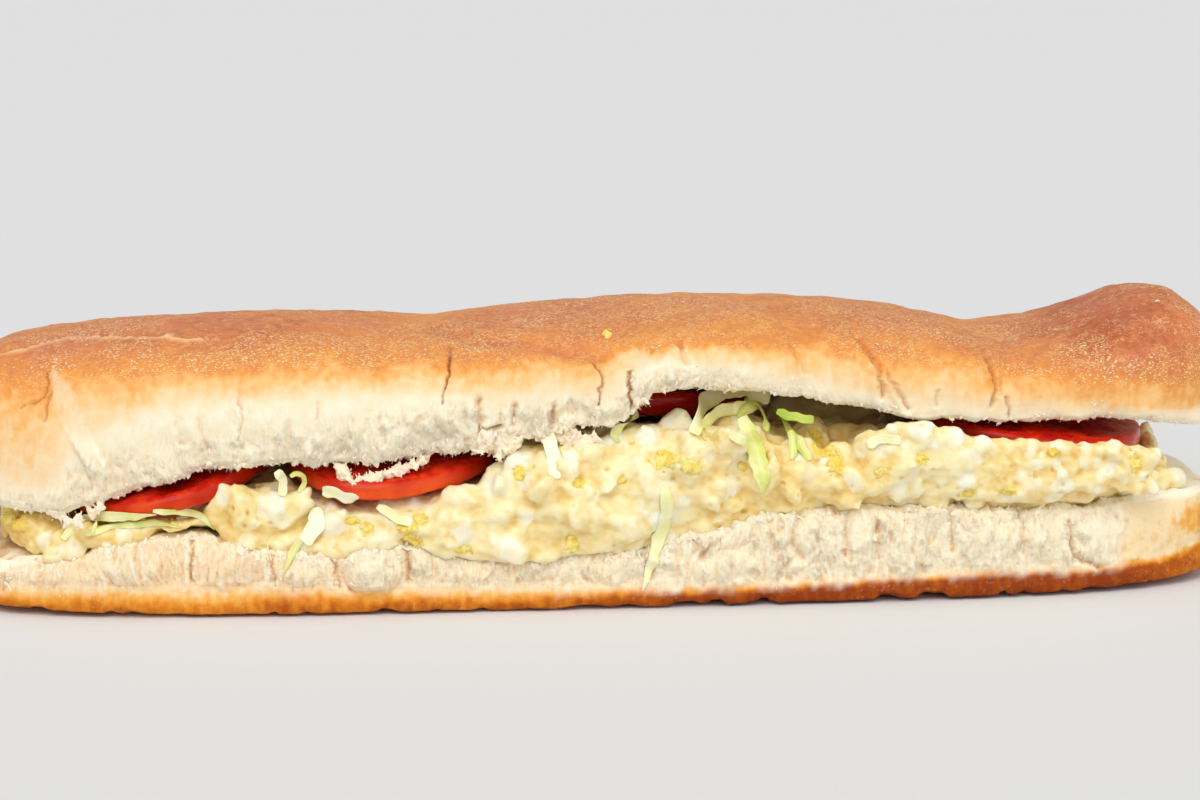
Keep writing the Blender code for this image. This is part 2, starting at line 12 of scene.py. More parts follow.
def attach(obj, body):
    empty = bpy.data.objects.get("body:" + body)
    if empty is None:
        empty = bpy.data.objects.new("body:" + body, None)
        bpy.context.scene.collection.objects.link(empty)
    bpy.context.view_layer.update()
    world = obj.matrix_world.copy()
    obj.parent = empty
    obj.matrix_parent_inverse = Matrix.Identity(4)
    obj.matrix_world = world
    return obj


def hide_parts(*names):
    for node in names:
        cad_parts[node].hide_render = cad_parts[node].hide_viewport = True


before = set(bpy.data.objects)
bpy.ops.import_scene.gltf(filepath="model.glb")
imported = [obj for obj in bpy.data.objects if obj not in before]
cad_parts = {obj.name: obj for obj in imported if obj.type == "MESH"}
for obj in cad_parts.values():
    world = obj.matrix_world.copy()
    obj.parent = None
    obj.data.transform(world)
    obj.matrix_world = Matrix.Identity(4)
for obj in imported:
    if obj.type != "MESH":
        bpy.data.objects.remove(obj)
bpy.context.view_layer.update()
scene = bpy.context.scene
mm = 0.001  # the frame is in metres, and the sizes below are in millimetres
noise.seed_set(1)  # so that noise_vector gives the same shapes in each run

print("frame loaded")


# helpers for objects and meshes

def selectOnly(obj):
    if bpy.context.object and bpy.context.object.mode != "OBJECT":
        bpy.ops.object.mode_set(mode="OBJECT")
    bpy.ops.object.select_all(action="DESELECT")
    obj.select_set(True)
    bpy.context.view_layer.objects.active = obj


@contextmanager
def editMode():
    bpy.ops.object.mode_set(mode="EDIT")
    yield
    bpy.ops.object.mode_set(mode="OBJECT")


def addPrimitive(operator, **settings):
    # a new primitive, the only thing selected
    bpy.ops.object.select_all(action="DESELECT")
    operator(**settings)
    return bpy.context.object


def applyModifier(obj, kind, **settings):
    selectOnly(obj)
    modifier = obj.modifiers.new(kind.title(), kind)
    for key, value in settings.items():
        setattr(modifier, key, value)
    bpy.ops.object.modifier_apply(modifier=modifier.name)


def copyOfNode(node, name):
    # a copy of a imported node's mesh, merged and back to quads
    obj = bpy.data.objects.new(name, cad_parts[node].data.copy())
    scene.collection.objects.link(obj)
    selectOnly(obj)
    bpy.ops.mesh.customdata_custom_splitnormals_clear()
    with editMode():
        bpy.ops.mesh.select_all(action="SELECT")
        bpy.ops.mesh.remove_doubles(threshold=0.000005)
        bpy.ops.mesh.tris_convert_to_quads(face_threshold=math.radians(50),
                                           shape_threshold=math.radians(60))
        bpy.ops.mesh.normals_make_consistent(inside=False)
    return obj


def meshObject(name, points, faces):
    # points in millimetres
    mesh = bpy.data.meshes.new(name)
    mesh.from_pydata((np.asarray(points) * mm).tolist(), [], faces)
    mesh.validate()
    obj = bpy.data.objects.new(name, mesh)
    scene.collection.objects.link(obj)
    return obj


def readRows(items, name):
    # three numbers for each point or face of a mesh
    rows = np.empty(len(items) * 3)
    items.foreach_get(name, rows)
    return rows.reshape(-1, 3)


def readPoints(obj):
    # places in millimetres, and the way each point faces
    return readRows(obj.data.vertices, "co") / mm, readRows(obj.data.vertex_normals, "vector")


def readFaces(obj):
    # centres of the faces in millimetres, and the way each faces
    return readRows(obj.data.polygons, "center") / mm, readRows(obj.data.polygons, "normal")


def writePoints(obj, places):
    obj.data.vertices.foreach_set("co", (places * mm).ravel())
    obj.data.update()


def paint(obj, **layers):
    # a number at each point, or one for all of them, which a material reads by its name
    for name, values in layers.items():
        layer = obj.data.attributes.get(name) or obj.data.attributes.new(name, "FLOAT", "POINT")
        layer.data.foreach_set("value", np.full(len(obj.data.vertices), values, dtype=np.float32))


def markFaces(obj, chosen):
    # selects faces, with nothing else selected
    selectOnly(obj)
    with editMode():
        bpy.ops.mesh.select_mode(type="FACE")
        bpy.ops.mesh.select_all(action="DESELECT")
    obj.data.polygons.foreach_set("select", np.asarray(chosen, dtype=bool))


def splitFaces(obj, wanted):
    # splits the faces that pass a test of their centres and the way they face
    markFaces(obj, wanted(*readFaces(obj)))
    with editMode():
        bpy.ops.mesh.subdivide(number_cuts=1)


def surfaceTree(objects):
    # one search tree over the meshes of several objects
    points, faces = [], []
    for obj in objects:
        start = len(points)
        points += [v.co for v in obj.data.vertices]
        faces += [[start + i for i in polygon.vertices] for polygon in obj.data.polygons]
    return BVHTree.FromPolygons(points, faces)


def pushOutOfRound(obj, scale, offset, reach):
    for vertex in obj.data.vertices:
        vertex.co += noise.noise_vector(vertex.co * scale + Vector(offset)) * reach


def shapeOf(obj):
    # the points and faces of a modelled shape, to be copied many times; the shape itself is removed
    points = np.array([v.co for v in obj.data.vertices])
    faces = [tuple(polygon.vertices) for polygon in obj.data.polygons]
    bpy.data.objects.remove(obj)
    return points, faces


def placed(spot, turn, sizes):
    # the matrix that stretches a shape to its three sizes, turns it and moves it to its spot
    return Matrix.Translation(spot) @ turn @ Matrix.Diagonal((*sizes, 1))


def turned(draw, reach=math.pi):
    return Euler([draw.uniform(-reach, reach) for _ in range(3)]).to_matrix().to_4x4()


def joinCopies(name, copies):
    # one mesh of many copies, each a shape and the matrix that places it, in millimetres
    points, faces, start = [], [], 0
    for (shapePoints, shapeFaces), matrix in copies:
        turn = np.array(matrix)
        points.append(shapePoints @ turn[:3, :3].T + turn[:3, 3])
        faces += [tuple(start + i for i in face) for face in shapeFaces]
        start += len(shapePoints)
    return meshObject(name, np.concatenate(points), faces)


def sampleSurface(obj, draw, count, wanted):
    # random spots on a mesh, spread evenly by area over the faces that pass a test
    mesh = obj.data
    areas = np.empty(len(mesh.polygons))
    mesh.polygons.foreach_get("area", areas)
    centres, facing = readFaces(obj)
    total = np.cumsum(areas * wanted(centres, facing))
    spots = []
    for _ in range(count):
        index = int(np.searchsorted(total, draw.random() * total[-1]))
        corners = [mesh.vertices[i].co / mm for i in mesh.polygons[index].vertices]
        shares = [draw.random() for _ in corners]
        spot = sum((c * s for c, s in zip(corners, shares)), Vector()) / sum(shares)
        spots.append((spot, Vector(facing[index])))
    return spots


def finishPiece(obj, material, slotName, *nodes):
    obj.data.materials.clear()
    obj.data.materials.append(material)
    selectOnly(obj)
    bpy.ops.object.shade_smooth()
    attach(obj, "root")
    if nodes:
        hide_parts(*nodes)
    triangles = sum(len(polygon.vertices) - 2 for polygon in obj.data.polygons)
    print("piece", obj.name, "with", triangles, "triangles")


# helpers for numbers, all on arrays of places in millimetres

def eased(value, low, high):
    # 0 below low, 1 above high, and smooth between
    share = np.clip((value - low) / (high - low), 0, 1)
    return share * share * (3 - 2 * share)


def along(table, x, column=1):
    # reads a table whose rows start with x
    return np.interp(x, [row[0] for row in table], [row[column] for row in table])


def peak(away, width):
    # 1 on a line, falling off smoothly over the given width beside it
    return np.exp(-(away / width) ** 2)


def grain(places, across, seed=0.0, octaves=1):
    # smooth noise from about -1 to 1, its bumps of one size, or of three along x, y and z
    scaled = (places / np.array(across) + seed).tolist()
    if octaves == 1:
        return np.array([noise.noise(place) for place in scaled])
    return np.array([noise.fractal(place, 1.0, 2.0, octaves) for place in scaled])


def pits(places, across, seed=0.0):
    # 1 at scattered cell centres and 0 far from them
    scaled = (places / np.array(across) + seed).tolist()
    return 1 - np.clip([noise.voronoi(place)[0][0] for place in scaled], 0, 1)


def nearLine(flat, line):
    # distance of each flat point from a line through several points, below 0 on its left
    best = np.full(len(flat), 1e9)
    side = np.ones(len(flat))
    for start, end in zip(line, line[1:]):
        start, step = np.array(start, float), np.array(end, float) - np.array(start, float)
        share = np.clip(((flat - start) @ step) / (step @ step), 0, 1)
        offset = flat - start - share[:, None] * step
        away = np.linalg.norm(offset, axis=1)
        turn = np.where(step[1] * offset[:, 0] - step[0] * offset[:, 1] < 0, -1, 1)
        side = np.where(away < best, turn, side)
        best = np.minimum(best, away)
    return best * side


def standOut(obj, times):
    # how far each point stands out from the points around it, in millimetres
    places, facing = readPoints(obj)
    edges = np.empty(len(obj.data.edges) * 2, dtype=np.int64)
    obj.data.edges.foreach_get("vertices", edges)
    first, second = edges.reshape(-1, 2).T
    count = len(places)
    joined = np.maximum(np.bincount(first, minlength=count) + np.bincount(second, minlength=count), 1)
    smooth = places.copy()
    for _ in range(times):
        for axis in range(3):
            value = smooth[:, axis]
            around = np.bincount(first, value[second], count) + np.bincount(second, value[first], count)
            smooth[:, axis] = (value + around / joined) / 2
    return np.sum((places - smooth) * facing, axis=1)


# helpers for materials

def colour(red, green, blue):
    # a colour as seen on a screen, 0 to 255, in the shader's own units
    def one(value):
        value /= 255
        return value / 12.92 if value <= 0.04045 else ((value + 0.055) / 1.055) ** 2.4
    return one(red), one(green), one(blue), 1.0


def feed(tree, socket, value):
    # joins a socket to another node's output, or gives it a plain value
    if isinstance(value, bpy.types.NodeSocket):
        tree.links.new(value, socket)
    else:
        socket.default_value = value


def addNode(tree, kind, inputs=None, **settings):
    node = tree.nodes.new(kind)
    for key, value in settings.items():
        setattr(node, key, value)
    for key, value in (inputs or {}).items():
        feed(tree, node.inputs[key], value)
    return node


def maths(tree, operation, *values, clamp=False):
    node = addNode(tree, "ShaderNodeMath", dict(enumerate(values)), operation=operation, use_clamp=clamp)
    return node.outputs[0]


def spread(tree, value, low, high, start=0.0, end=1.0):
    inputs = {"Value": value, "From Min": low, "From Max": high, "To Min": start, "To Max": end}
    return addNode(tree, "ShaderNodeMapRange", inputs, interpolation_type="SMOOTHSTEP").outputs["Result"]


def ramp(tree, value, stops):
    node = addNode(tree, "ShaderNodeValToRGB", {"Fac": value})
    elements = node.color_ramp.elements
    while len(elements) < len(stops):
        elements.new(0.5)
    for element, (place, tone) in zip(elements, stops):
        element.position = place
        element.color = colour(*tone)
    return node.outputs["Color"]


def blendColours(tree, share, first, second):
    # sockets 0, 6 and 7 of the colour mix are its factor, A and B
    return addNode(tree, "ShaderNodeMix", {0: share, 6: first, 7: second}, data_type="RGBA").outputs[2]


def swing(tree, mask, width):
    # turns a mask from 0 to 1 into as much below 0 as above it
    return maths(tree, "MULTIPLY_ADD", mask, width, -width / 2)


def noiseTexture(tree, vector, scale, detail, output="Fac"):
    inputs = {"Vector": vector, "Scale": scale, "Detail": detail}
    return addNode(tree, "ShaderNodeTexNoise", inputs).outputs[output]


def wandering(tree, vector, scale, detail, reach):
    # coordinates pushed about by noise, so that dots and lines on them are less regular
    cloud = noiseTexture(tree, vector, scale, detail, "Color")
    push = addNode(tree, "ShaderNodeVectorMath", {0: cloud, 1: (reach, reach, reach)}, operation="MULTIPLY")
    return addNode(tree, "ShaderNodeVectorMath", {0: vector, 1: push.outputs[0]}, operation="ADD").outputs[0]


def attribute(tree, name):
    return addNode(tree, "ShaderNodeAttribute", attribute_name=name).outputs["Fac"]


def stretched(tree, scale=(1, 1, 1)):
    # object coordinates, squeezed or stretched along the axes
    where = addNode(tree, "ShaderNodeTexCoord").outputs["Object"]
    return addNode(tree, "ShaderNodeMapping", {"Vector": where, "Scale": scale}).outputs["Vector"]


def newMaterial(name):
    material = bpy.data.materials.new(name)
    material.use_nodes = True
    return material, material.node_tree, material.node_tree.nodes["Principled BSDF"]


def bumped(tree, height, distance, strength):
    # how the light falls on a height map, whose distance is in millimetres
    inputs = {"Height": height, "Distance": distance * mm, "Strength": strength}
    return addNode(tree, "ShaderNodeBump", inputs).outputs["Normal"]


def fillSkin(tree, skin, inputs):
    # the shader's own inputs, each a plain value or another node's output
    for name, value in inputs.items():
        feed(tree, skin.inputs[name], value)


def newGroup(name, numbers):
    # a node group with a vector and named numbers going in, and a mask from 0 to 1 coming out
    tree = bpy.data.node_groups.new(name, "ShaderNodeTree")
    tree.interface.new_socket("Vector", in_out="INPUT", socket_type="NodeSocketVector")
    for label, value in numbers.items():
        socket = tree.interface.new_socket(label, in_out="INPUT", socket_type="NodeSocketFloat")
        socket.default_value = value
    tree.interface.new_socket("Mask", in_out="OUTPUT", socket_type="NodeSocketFloat")
    return tree, tree.nodes.new("NodeGroupInput").outputs, tree.nodes.new("NodeGroupOutput").inputs["Mask"]


def makeMottle():
    # soft blotches, which every food here uses for its uneven colour
    tree, given, mask = newGroup("mottle", {"Scale": 100.0, "Detail": 3.0, "Low": 0.35, "High": 0.65})
    cloud = noiseTexture(tree, given["Vector"], given["Scale"], given["Detail"])
    tree.links.new(spread(tree, cloud, given["Low"], given["High"]), mask)
    return tree


def makeSpeckle():
    # small specks in clusters: Size is a share of their spacing, Cover is how many of them there are,
    # and where Boost is 1 the clusters close up
    numbers = {"Scale": 700.0, "Size": 0.4, "Cluster": 60.0, "Cover": 0.5, "Boost": 0.0}
    tree, given, mask = newGroup("speckle", numbers)
    vector = wandering(tree, given["Vector"], 900.0, 1.0, 0.0012)
    dots = addNode(tree, "ShaderNodeTexVoronoi", {"Vector": vector, "Scale": given["Scale"]})
    edge = maths(tree, "MULTIPLY", given["Size"], 0.6)
    dot = spread(tree, dots.outputs["Distance"], edge, given["Size"], 1.0, 0.0)
    keep = maths(tree, "LESS_THAN", dots.outputs["Color"], given["Cover"])
    where = noiseTexture(tree, given["Vector"], given["Cluster"], 3.0)
    cluster = maths(tree, "MAXIMUM", spread(tree, where, 0.42, 0.6), given["Boost"])
    tree.links.new(maths(tree, "MULTIPLY", maths(tree, "MULTIPLY", dot, keep), cluster), mask)
    return tree


mottleGroup = makeMottle()
speckleGroup = makeSpeckle()


def useGroup(tree, group, inputs):
    node = tree.nodes.new("ShaderNodeGroup")
    node.node_tree = group
    for key, value in inputs.items():
        feed(tree, node.inputs[key], value)
    return node.outputs["Mask"]


def mottled(tree, vector, scale, low=0.3, high=0.7, detail=3.0):
    inputs = {"Vector": vector, "Scale": scale, "Detail": detail, "Low": low, "High": high}
    return useGroup(tree, mottleGroup, inputs)


def speckled(tree, vector, scale, size, cluster, cover, boost=0.0):
    inputs = {"Vector": vector, "Scale": scale, "Size": size, "Cluster": cluster, "Cover": cover,
              "Boost": boost}
    return useGroup(tree, speckleGroup, inputs)


# the bread's finish

breadLook = {
    # from cream through gold and orange to brown
    "bake": [(0.0, (248, 226, 190)), (0.2, (247, 214, 164)), (0.4, (246, 190, 118)), (0.58, (234, 154, 72)),
             (0.78, (214, 130, 76)), (1.0, (178, 92, 54))],
    "under": [(0.0, (246, 222, 176)), (0.25, (238, 178, 90)), (0.5, (222, 138, 36)), (0.75, (178, 88, 8)),
              (1.0, (142, 56, 0))],
    # the crumb, from tan for the painted shade of its hollows to white
    "crumb": [(0.0, (218, 177, 128)), (0.3, (243, 215, 174)), (0.55, (250, 232, 201)),
              (1.0, (254, 242, 218))],
    "speck": (251, 214, 158),
    "blush": (208, 122, 94),
    # dark brown for the painted shade in creases, splits and tiny cracks
    "crack": (142, 84, 48),
}


def makeCrust(tree, plain, strand, bake):
    # the crust's colour, and how much of it pale blisters cover; its browning is uneven in broad clouds,
    # in fine grain and in upright streaks
    clouds = swing(tree, mottled(tree, plain, 55.0, detail=5.0), 0.14)
    fine = swing(tree, mottled(tree, plain, 420.0), 0.12)
    streaks = swing(tree, mottled(tree, strand, 620.0, detail=2.0), 0.08)
    uneven = maths(tree, "ADD", maths(tree, "ADD", clouds, fine), streaks)
    crust = ramp(tree, maths(tree, "ADD", bake, uneven, clamp=True), breadLook["bake"])
    rosy = mottled(tree, plain, 34.0, 0.45, 0.7)
    blush = maths(tree, "MULTIPLY", rosy, spread(tree, bake, 0.6, 0.8, 0.0, 0.5))
    crust = blendColours(tree, blush, crust, colour(*breadLook["blush"]))
    # pale blisters in clusters, and a broken net of fine pale lines where the crust is darkest
    boost = attribute(tree, "dots")
    flat = stretched(tree, (0.62, 1, 1))
    small = speckled(tree, flat, 2000.0, 0.46, 85.0, 0.85, boost)
    large = speckled(tree, flat, 1300.0, 0.34, 60.0, 0.36, boost)
    cells = addNode(tree, "ShaderNodeTexVoronoi", {"Vector": wandering(tree, plain, 420.0, 2.0, 0.003),
                    "Scale": 540.0}, feature="DISTANCE_TO_EDGE")
    net = maths(tree, "MULTIPLY", spread(tree, cells.outputs["Distance"], 0.02, 0.1, 1.0, 0.0),
                mottled(tree, plain, 260.0, 0.5, 0.62))
    net = maths(tree, "MULTIPLY", net, spread(tree, bake, 0.56, 0.8, 0.0, 0.42))
    strength = maths(tree, "MULTIPLY_ADD", mottled(tree, plain, 500.0, 0.3, 0.6), 0.5, 0.6)
    specks = maths(tree, "MULTIPLY", maths(tree, "MAXIMUM", small, large), strength)
    shown = maths(tree, "MULTIPLY", specks, spread(tree, bake, 0.44, 0.64))
    shown = maths(tree, "MAXIMUM", maths(tree, "MAXIMUM", shown, net), attribute(tree, "pale"))
    speck = colour(*breadLook["speck"])
    crust = blendColours(tree, shown, crust, speck)
    # the deeper brown of the base
    under = maths(tree, "ADD", attribute(tree, "under"), maths(tree, "MULTIPLY", uneven, 1.3), clamp=True)
    freckles = maths(tree, "MULTIPLY", speckled(tree, plain, 1000.0, 0.38, 120.0, 0.6), 0.12)
    base = blendColours(tree, freckles, ramp(tree, under, breadLook["under"]), speck)
    return blendColours(tree, attribute(tree, "low"), crust, base), shown


def makeBreadMaterial():
    # bake, crumb, low, under, relief, dots and pale are painted on the mesh, and so is the painted shade of
    # the creases
    material, tree, skin = newMaterial("crustAndCrumb")
    plain = stretched(tree)
    strand = stretched(tree, (1, 1, 0.14))
    crumb = attribute(tree, "crumb")
    crust, shown = makeCrust(tree, plain, strand, attribute(tree, "bake"))
    # torn crumb, white where it stands out and tan in its hollows, the tan being painted shade
    fluff = swing(tree, mottled(tree, strand, 1100.0), 0.12)
    damp = swing(tree, mottled(tree, plain, 130.0), 0.16)
    lift = maths(tree, "ADD", maths(tree, "ADD", attribute(tree, "relief"), fluff), damp, clamp=True)
    surface = blendColours(tree, crumb, crust, ramp(tree, lift, breadLook["crumb"]))
    # creases and splits are darkened with painted shade
    surface = blendColours(tree, attribute(tree, "crack"), surface, colour(*breadLook["crack"]))
    # fine relief: blisters and orange peel on the crust, fibres on the crumb
    peel = maths(tree, "MULTIPLY", noiseTexture(tree, plain, 900.0, 3.0), 0.45)
    crustHeight = maths(tree, "ADD", peel, maths(tree, "MULTIPLY", shown, 0.6))
    fibre = maths(tree, "MULTIPLY", noiseTexture(tree, stretched(tree, (1, 1, 0.4)), 1500.0, 4.0), 1.4)
    # sockets 0, 2 and 3 of the number mix are its factor, A and B
    height = addNode(tree, "ShaderNodeMix", {0: crumb, 2: crustHeight, 3: fibre}, data_type="FLOAT")
    # light goes deep into the open crumb and hardly into the crust
    fillSkin(tree, skin, {
        "Base Color": surface, "Roughness": spread(tree, crumb, 0.0, 1.0, 0.55, 0.95),
        "Normal": bumped(tree, height.outputs[0], 0.25, 0.8),
        "Specular IOR Level": 0.18, "Subsurface Weight": spread(tree, crumb, 0.0, 1.0, 0.1, 0.7),
        "Subsurface Radius": (1.0, 0.88, 0.74), "Subsurface Scale": 1.5 * mm})
    return material


def makeFibreMaterial():
    # loose fibres of crumb, matt and nearly white
    material, tree, skin = newMaterial("crumbFibre")
    tone = ramp(tree, attribute(tree, "relief"), breadLook["crumb"])
    fillSkin(tree, skin, {"Base Color": tone, "Roughness": 0.95, "Specular IOR Level": 0.1})
    return material


breadMaterial = makeBreadMaterial()
fibreMaterial = makeFibreMaterial()
print("bread finish made")


# the two halves of the roll

halfLength = 156  # of the roll, to where the tables below reach

# waves of several kinds: each has its size, or its sizes along x, y and z, and how high it stands
crumbValues = {
    "lean": (11, 2.0),  # how far the tufts and the threads lean along the roll
    "tufts": ((3.2, 3.4, 4.6), 2.2), "threads": ((1.0, 1.7, 3.4), 0.75),
    "lumps": (7, 0.8), "fuzz": ((0.6, 0.6, 0.8), 0.17), "hollows": ((3.4, 4, 5.0), -1.3),
}

topRollValues = {
    # waves in the browning and the torn edge, in the crust itself, and in the tatters that hang down
    "broad": (9, 2.6), "fine": (2.4, 0.8), "tongues": ((2.6, 4, 7), 1.6),
    "crust": (3.2, 0.14), "blisters": ((2.6, 2.6, 2.0), 0.2),
    "tatters": (((1.5, 1.6, 4), 0.6), ((3.8, 4, 6), 1.2)),
    # heights along the roll where the crust turns brown, golden, white, and where it is torn
    "brown": [(-156, 55), (-140, 57), (-121, 58.2), (-102, 58.8), (-84, 59.2), (-65, 60), (-46, 60.2),
              (-23, 60.2), (0, 60.4), (19, 62.5), (38, 62.5), (57, 61.5), (76, 59.8), (96, 57.2), (115, 55.2),
              (136, 53), (156, 50)],
    "gold": [(-156, 47), (-140, 48), (-121, 53), (-102, 54.6), (-84, 55.6), (-65, 56.2), (-46, 56.6),
             (-23, 57), (0, 57.6), (8, 61.4), (19, 62), (38, 61), (57, 58.4), (76, 54), (96, 51),
             (115, 47.5), (136, 44), (156, 42)],
    "white": [(-156, 30), (-130, 31), (-123, 39), (-118, 43.5), (-113, 46), (-105, 48.5), (-96, 50),
              (-84, 51), (-70, 51.4), (-53, 51.6), (-42, 51.6), (-30, 50.8), (-20, 50.6), (-12, 51.4),
              (-3, 51), (5, 53), (9, 58.6), (14, 59), (22, 58), (31, 57.4), (40, 56), (52, 53.4), (60, 51),
              (71, 48), (96, 45), (123, 43.6), (135, 42.4), (156, 40)],
    "torn": [(-156, 28), (-130, 29), (-122, 36), (-110, 40), (-100, 43), (-84, 44.5), (-65, 46), (-47, 48),
             (-28, 49.5), (-10, 50), (4, 52), (12, 56.5), (23, 56.5), (47, 52.5), (60, 48), (71, 45.6),
             (96, 43.2), (123, 41.6), (135, 41.4), (156, 39)],
    # how rough the torn crumb is along the roll
    "rough": [(-156, 0.4), (-110, 0.6), (-70, 0.75), (-45, 0.9), (-20, 1.0), (12, 1.1), (24, 0.8),
              (45, 0.5), (60, 0.35), (156, 0.25)],
    # how thickly the pale blisters lie along the roll
    "speckled": [(-156, 0.25), (-130, 0.3), (-100, 0.2), (-50, 0.25), (-30, 0.45), (-10, 0.65), (60, 0.65),
                 (85, 0.55), (105, 0.25), (156, 0.15)],
    # a torn strip on the left: height, and its two sides along x
    "strip": [(57.6, -128.0, -127.4), (56.9, -128.2, -126.6), (53.5, -127.5, -122.6), (50.6, -127.0, -121.6),
              (46.9, -125.8, -119.6), (43, -124.2, -117.9), (40, -122.4, -116.3), (36.7, -120.4, -114.8),
              (32.7, -119.3, -114.4), (28, -118, -115)],
    # a raised seam, a band of blisters and a folded dip on the upper side, in x and y
    "seam": [(-141, -15), (-136, -16), (-132.1, -15.5), (-129.3, -13.8), (-125.5, -12.4), (-119.2, -13),
             (-112, -16.4), (-104.1, -19.2), (-97, -20.8), (-93, -21.4)],
    "dots": [(-97, -23.2), (-89.9, -24.6), (-81.7, -26.4), (-70, -27.7), (-58.3, -28.2)],
    "fold": [(-38, -6), (-35.5, -15.3), (-29.9, -23.1), (-18.2, -26), (-6.7, -31.2),
             (2.2, -32.8), (9.7, -35), (13, -36.5)],
    "seamWidth": 0.5, "seamHeight": 0.45, "dotsWidth": 1.3, "foldWidth": 2.0, "foldDepth": 1.5,
    # small dark marks, the painted shade of tiny cracks, and the size of each
    "marks": [((-10.4, -23.9, 63.4), 0.9)],
    # lines on the front in x and z, each with its width, its depth and how dark its painted shade is
    "creases": [
        ([(-129.1, 57), (-128.7, 54.3), (-129.1, 51.6), (-131.4, 50.5), (-134.7, 49.6)], 0.32, 0.6, 0.6),
        ([(-127.9, 53), (-128.8, 49.5), (-129.1, 46.6)], 0.4, 0.7, 0.5),
        ([(-82.5, 57.4), (-84.1, 54.1), (-84.0, 50.4), (-83.5, 47.9), (-84.4, 42.4)], 0.5, 0.45, 0.1),
        ([(-84.3, 51.4), (-83.9, 49.6)], 0.4, 0.3, 0.25),
        ([(-65.9, 51.1), (-66, 47.5)], 0.5, 0.35, 0.12),
        ([(-36.7, 62), (-34.6, 61.3), (-35.4, 58.8), (-35.1, 56.7), (-36.3, 54)], 0.36, 1.3, 1.0),
        ([(-36.3, 54), (-36.9, 52.2), (-37.2, 50.2)], 0.4, 0.9, 0.5),
        ([(-1.7, 59.2), (0.8, 55.6), (-0.2, 53.1), (-0.7, 49.1)], 0.34, 0.9, 0.7),
        ([(18.6, 63.4), (20.2, 58.8)], 0.7, 0.9, 0.2), ([(45.4, 62.1), (48.4, 56.1)], 0.6, 0.6, 0.15),
        ([(61.2, 63.5), (62.1, 62.5), (65.7, 58), (66.3, 53.9), (67, 50)], 0.8, 1.5, 0.3),
        ([(68, 55.7), (70.5, 51.1), (73.2, 46.7)], 0.7, 1.1, 0.25),
        ([(80.2, 50.8), (79.9, 47.3)], 0.5, 0.5, 0.15),
        ([(93, 59.6), (93.5, 57), (94, 54.3), (94.8, 52.1), (94.4, 49.5), (93.4, 46.9)], 0.6, 1.3, 0.45),
        ([(96.1, 52.6), (95.6, 49.6)], 0.5, 0.6, 0.2), ([(96.9, 48.8), (98.1, 44)], 0.5, 0.8, 0.4),
        ([(113.2, 54.1), (114.7, 51)], 0.7, 0.5, 0.1), ([(-52, 47), (-50.8, 41)], 0.8, 0.6, 0.08),
        ([(-28.4, 50.6), (-29, 47.4), (-28.2, 44)], 0.9, 1.6, 0.2),
        ([(-28.6, 42.6), (-26, 43.4), (-23.5, 44.2)], 0.7, 1.5, 0.5),
        ([(-20.2, 49.5), (-20.6, 45)], 0.8, 1.2, 0.2), ([(-11, 49), (-11.6, 44)], 0.8, 1.2, 0.2),
        ([(7.0, 57), (6.8, 53), (7.6, 48)], 0.6, 1.8, 0.6), ([(-99, 50), (-98.2, 44)], 1.0, 0.3, 0.04),
        ([(-93.5, 47), (-92, 40)], 0.9, 0.4, 0.05), ([(-73, 46), (-72, 40)], 0.9, 0.4, 0.05),
    ],
}

